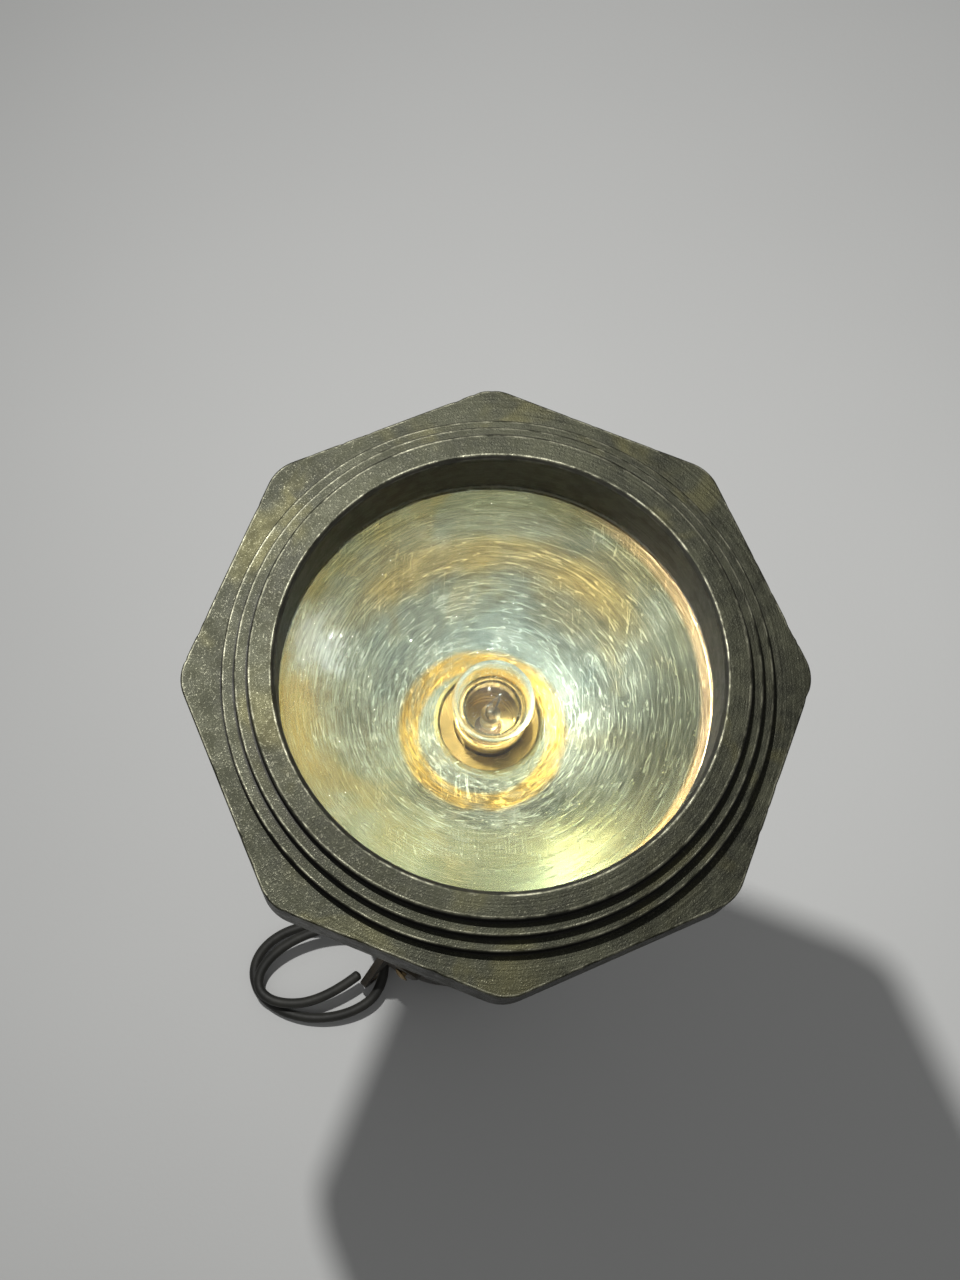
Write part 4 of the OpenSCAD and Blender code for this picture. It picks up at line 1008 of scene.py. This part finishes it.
def loopPath():
    # (x, y) of two ovals of one wire: the low outer turn crosses over to the high inner turn inside the
    # eye, then the whole is turned about Z and leaned until its far end rests on the table
    s = loop
    a = np.linspace(s["start"], s["end"], s["steps"])
    w = eased((a - 360 + s["cross"]) / (2 * s["cross"]))
    outerMid = s["outer"][0] / 2 - s["past"]
    innerMid = s["outer"][0] - s["past"] - s["short"] - s["inner"][0] / 2
    mid = outerMid + (innerMid - outerMid) * w
    x = (s["outer"][0] + (s["inner"][0] - s["outer"][0]) * w) / 2 * np.cos(np.radians(a))
    y = (s["outer"][1] + (s["inner"][1] - s["outer"][1]) * w) / 2 * np.sin(np.radians(a))
    g = np.radians(s["innerYaw"]) * w
    bend = s["endBend"] * eased((a - s["bendStart"]) / (s["end"] - s["bendStart"]))
    flat = np.stack([-mid + x * np.cos(g) - y * np.sin(g),
                     s["innerShift"] * w + bend + x * np.sin(g) + y * np.cos(g), s["rise"] * (w - 0.5)], 1)
    yaw = math.radians(s["yaw"])
    halfLong, halfWide = s["outer"][0] / 2 * math.cos(yaw), s["outer"][1] / 2 * math.sin(yaw)
    reach = outerMid * math.cos(yaw) + math.hypot(halfLong, halfWide)
    lean = math.asin((s["eye"][2] - s["gap"] - s["wire"] / 2 - s["rise"] / 2) / reach)
    turn = np.array(Matrix.Rotation(-lean, 3, "Y") @ Matrix.Rotation(-yaw, 3, "Z"))
    return (flat @ turn.T + np.array(s["eye"])) * mm


joined("wireLoop", [wireMesh("turns", loopPath(), loop["wire"] / 2 * mm, loop["sides"])], loopFinish, "loop",
       ("hanging_loop",))
print("spring and loop made")

light = {
    "key": (0.0145, 0.0918, 0.384), "keySize": 0.012, "keyPower": 1.45, "keyAim": (0.25, -0.15, 0.0),
    "skyLow": 0.15, "skyHigh": 0.56, "skyFrom": 0.68, "skyTint": (0.97, 0.98, 1.0), "seen": 0.42,
    "floor": (0.5, 0.5, 0.485), "floorHalf": 4.0, "floorDrop": 0.0002,
}


def makeLamp(name, where, size, power, aim):
    data = bpy.data.lights.new(name, "AREA")
    data.shape = "DISK"
    data.size = size
    data.energy = power
    lamp = bpy.data.objects.new(name, data)
    lamp.location = where
    lamp.rotation_euler = (Vector(aim) - Vector(where)).to_track_quat("-Z", "Y").to_euler()
    bpy.context.scene.collection.objects.link(lamp)


def makeSky():
    # a soft sky, brighter overhead, like a diffuser above the table, with an even pale backdrop
    world = bpy.data.worlds.new("softSky")
    world.use_nodes = True
    tree = world.node_tree
    ground = tree.nodes["Background"]
    ground.inputs["Color"].default_value = colour(*light["skyTint"])
    coords = tree.nodes.new("ShaderNodeTexCoord")
    parts = tree.nodes.new("ShaderNodeSeparateXYZ")
    rise = tree.nodes.new("ShaderNodeMapRange")
    rise.interpolation_type = "SMOOTHSTEP"
    for index, value in ((1, light["skyFrom"]), (2, 1.0), (3, light["skyLow"]), (4, light["skyHigh"])):
        rise.inputs[index].default_value = value
    tree.links.new(coords.outputs["Generated"], parts.inputs[0])
    tree.links.new(parts.outputs["Z"], rise.inputs[0])
    path = tree.nodes.new("ShaderNodeLightPath")
    pick = tree.nodes.new("ShaderNodeMix")
    pick.inputs["B"].default_value = light["seen"]
    tree.links.new(path.outputs["Is Camera Ray"], pick.inputs["Factor"])
    tree.links.new(rise.outputs[0], pick.inputs["A"])
    tree.links.new(pick.outputs[0], ground.inputs["Strength"])
    bpy.context.scene.world = world


makeLamp("keyLamp", light["key"], light["keySize"], light["keyPower"], light["keyAim"])
makeSky()


def makeFloor():
    f = Finish("paperFloor", {"Roughness": 0.8})
    soft = f.noise(5, 3, 0.5).step(0.3, 0.7)
    tone = f.blend(soft, colour(*[c * 0.96 for c in light["floor"]]), colour(*light["floor"]))
    f.feed({"Base Color": tone, "Normal": f.bump(f.noise(900, 3, 0.6), 0.0001, 0.3)})
    line = np.linspace(-light["floorHalf"], light["floorHalf"], 9)
    grid = np.stack(np.meshgrid(line, line, indexing="ij"), -1)
    points = np.concatenate([grid, np.full(grid.shape[:2] + (1,), -light["floorDrop"])], -1)
    mesh = meshOf("floorSheet", points, (False, False))
    mesh.materials.append(f.material)
    floor = bpy.data.objects.new("floorSheet", mesh)
    bpy.context.scene.collection.objects.link(floor)


makeFloor()
bpy.context.scene.view_settings.view_transform = "Standard"
print("light and floor made")


print("scene ready")
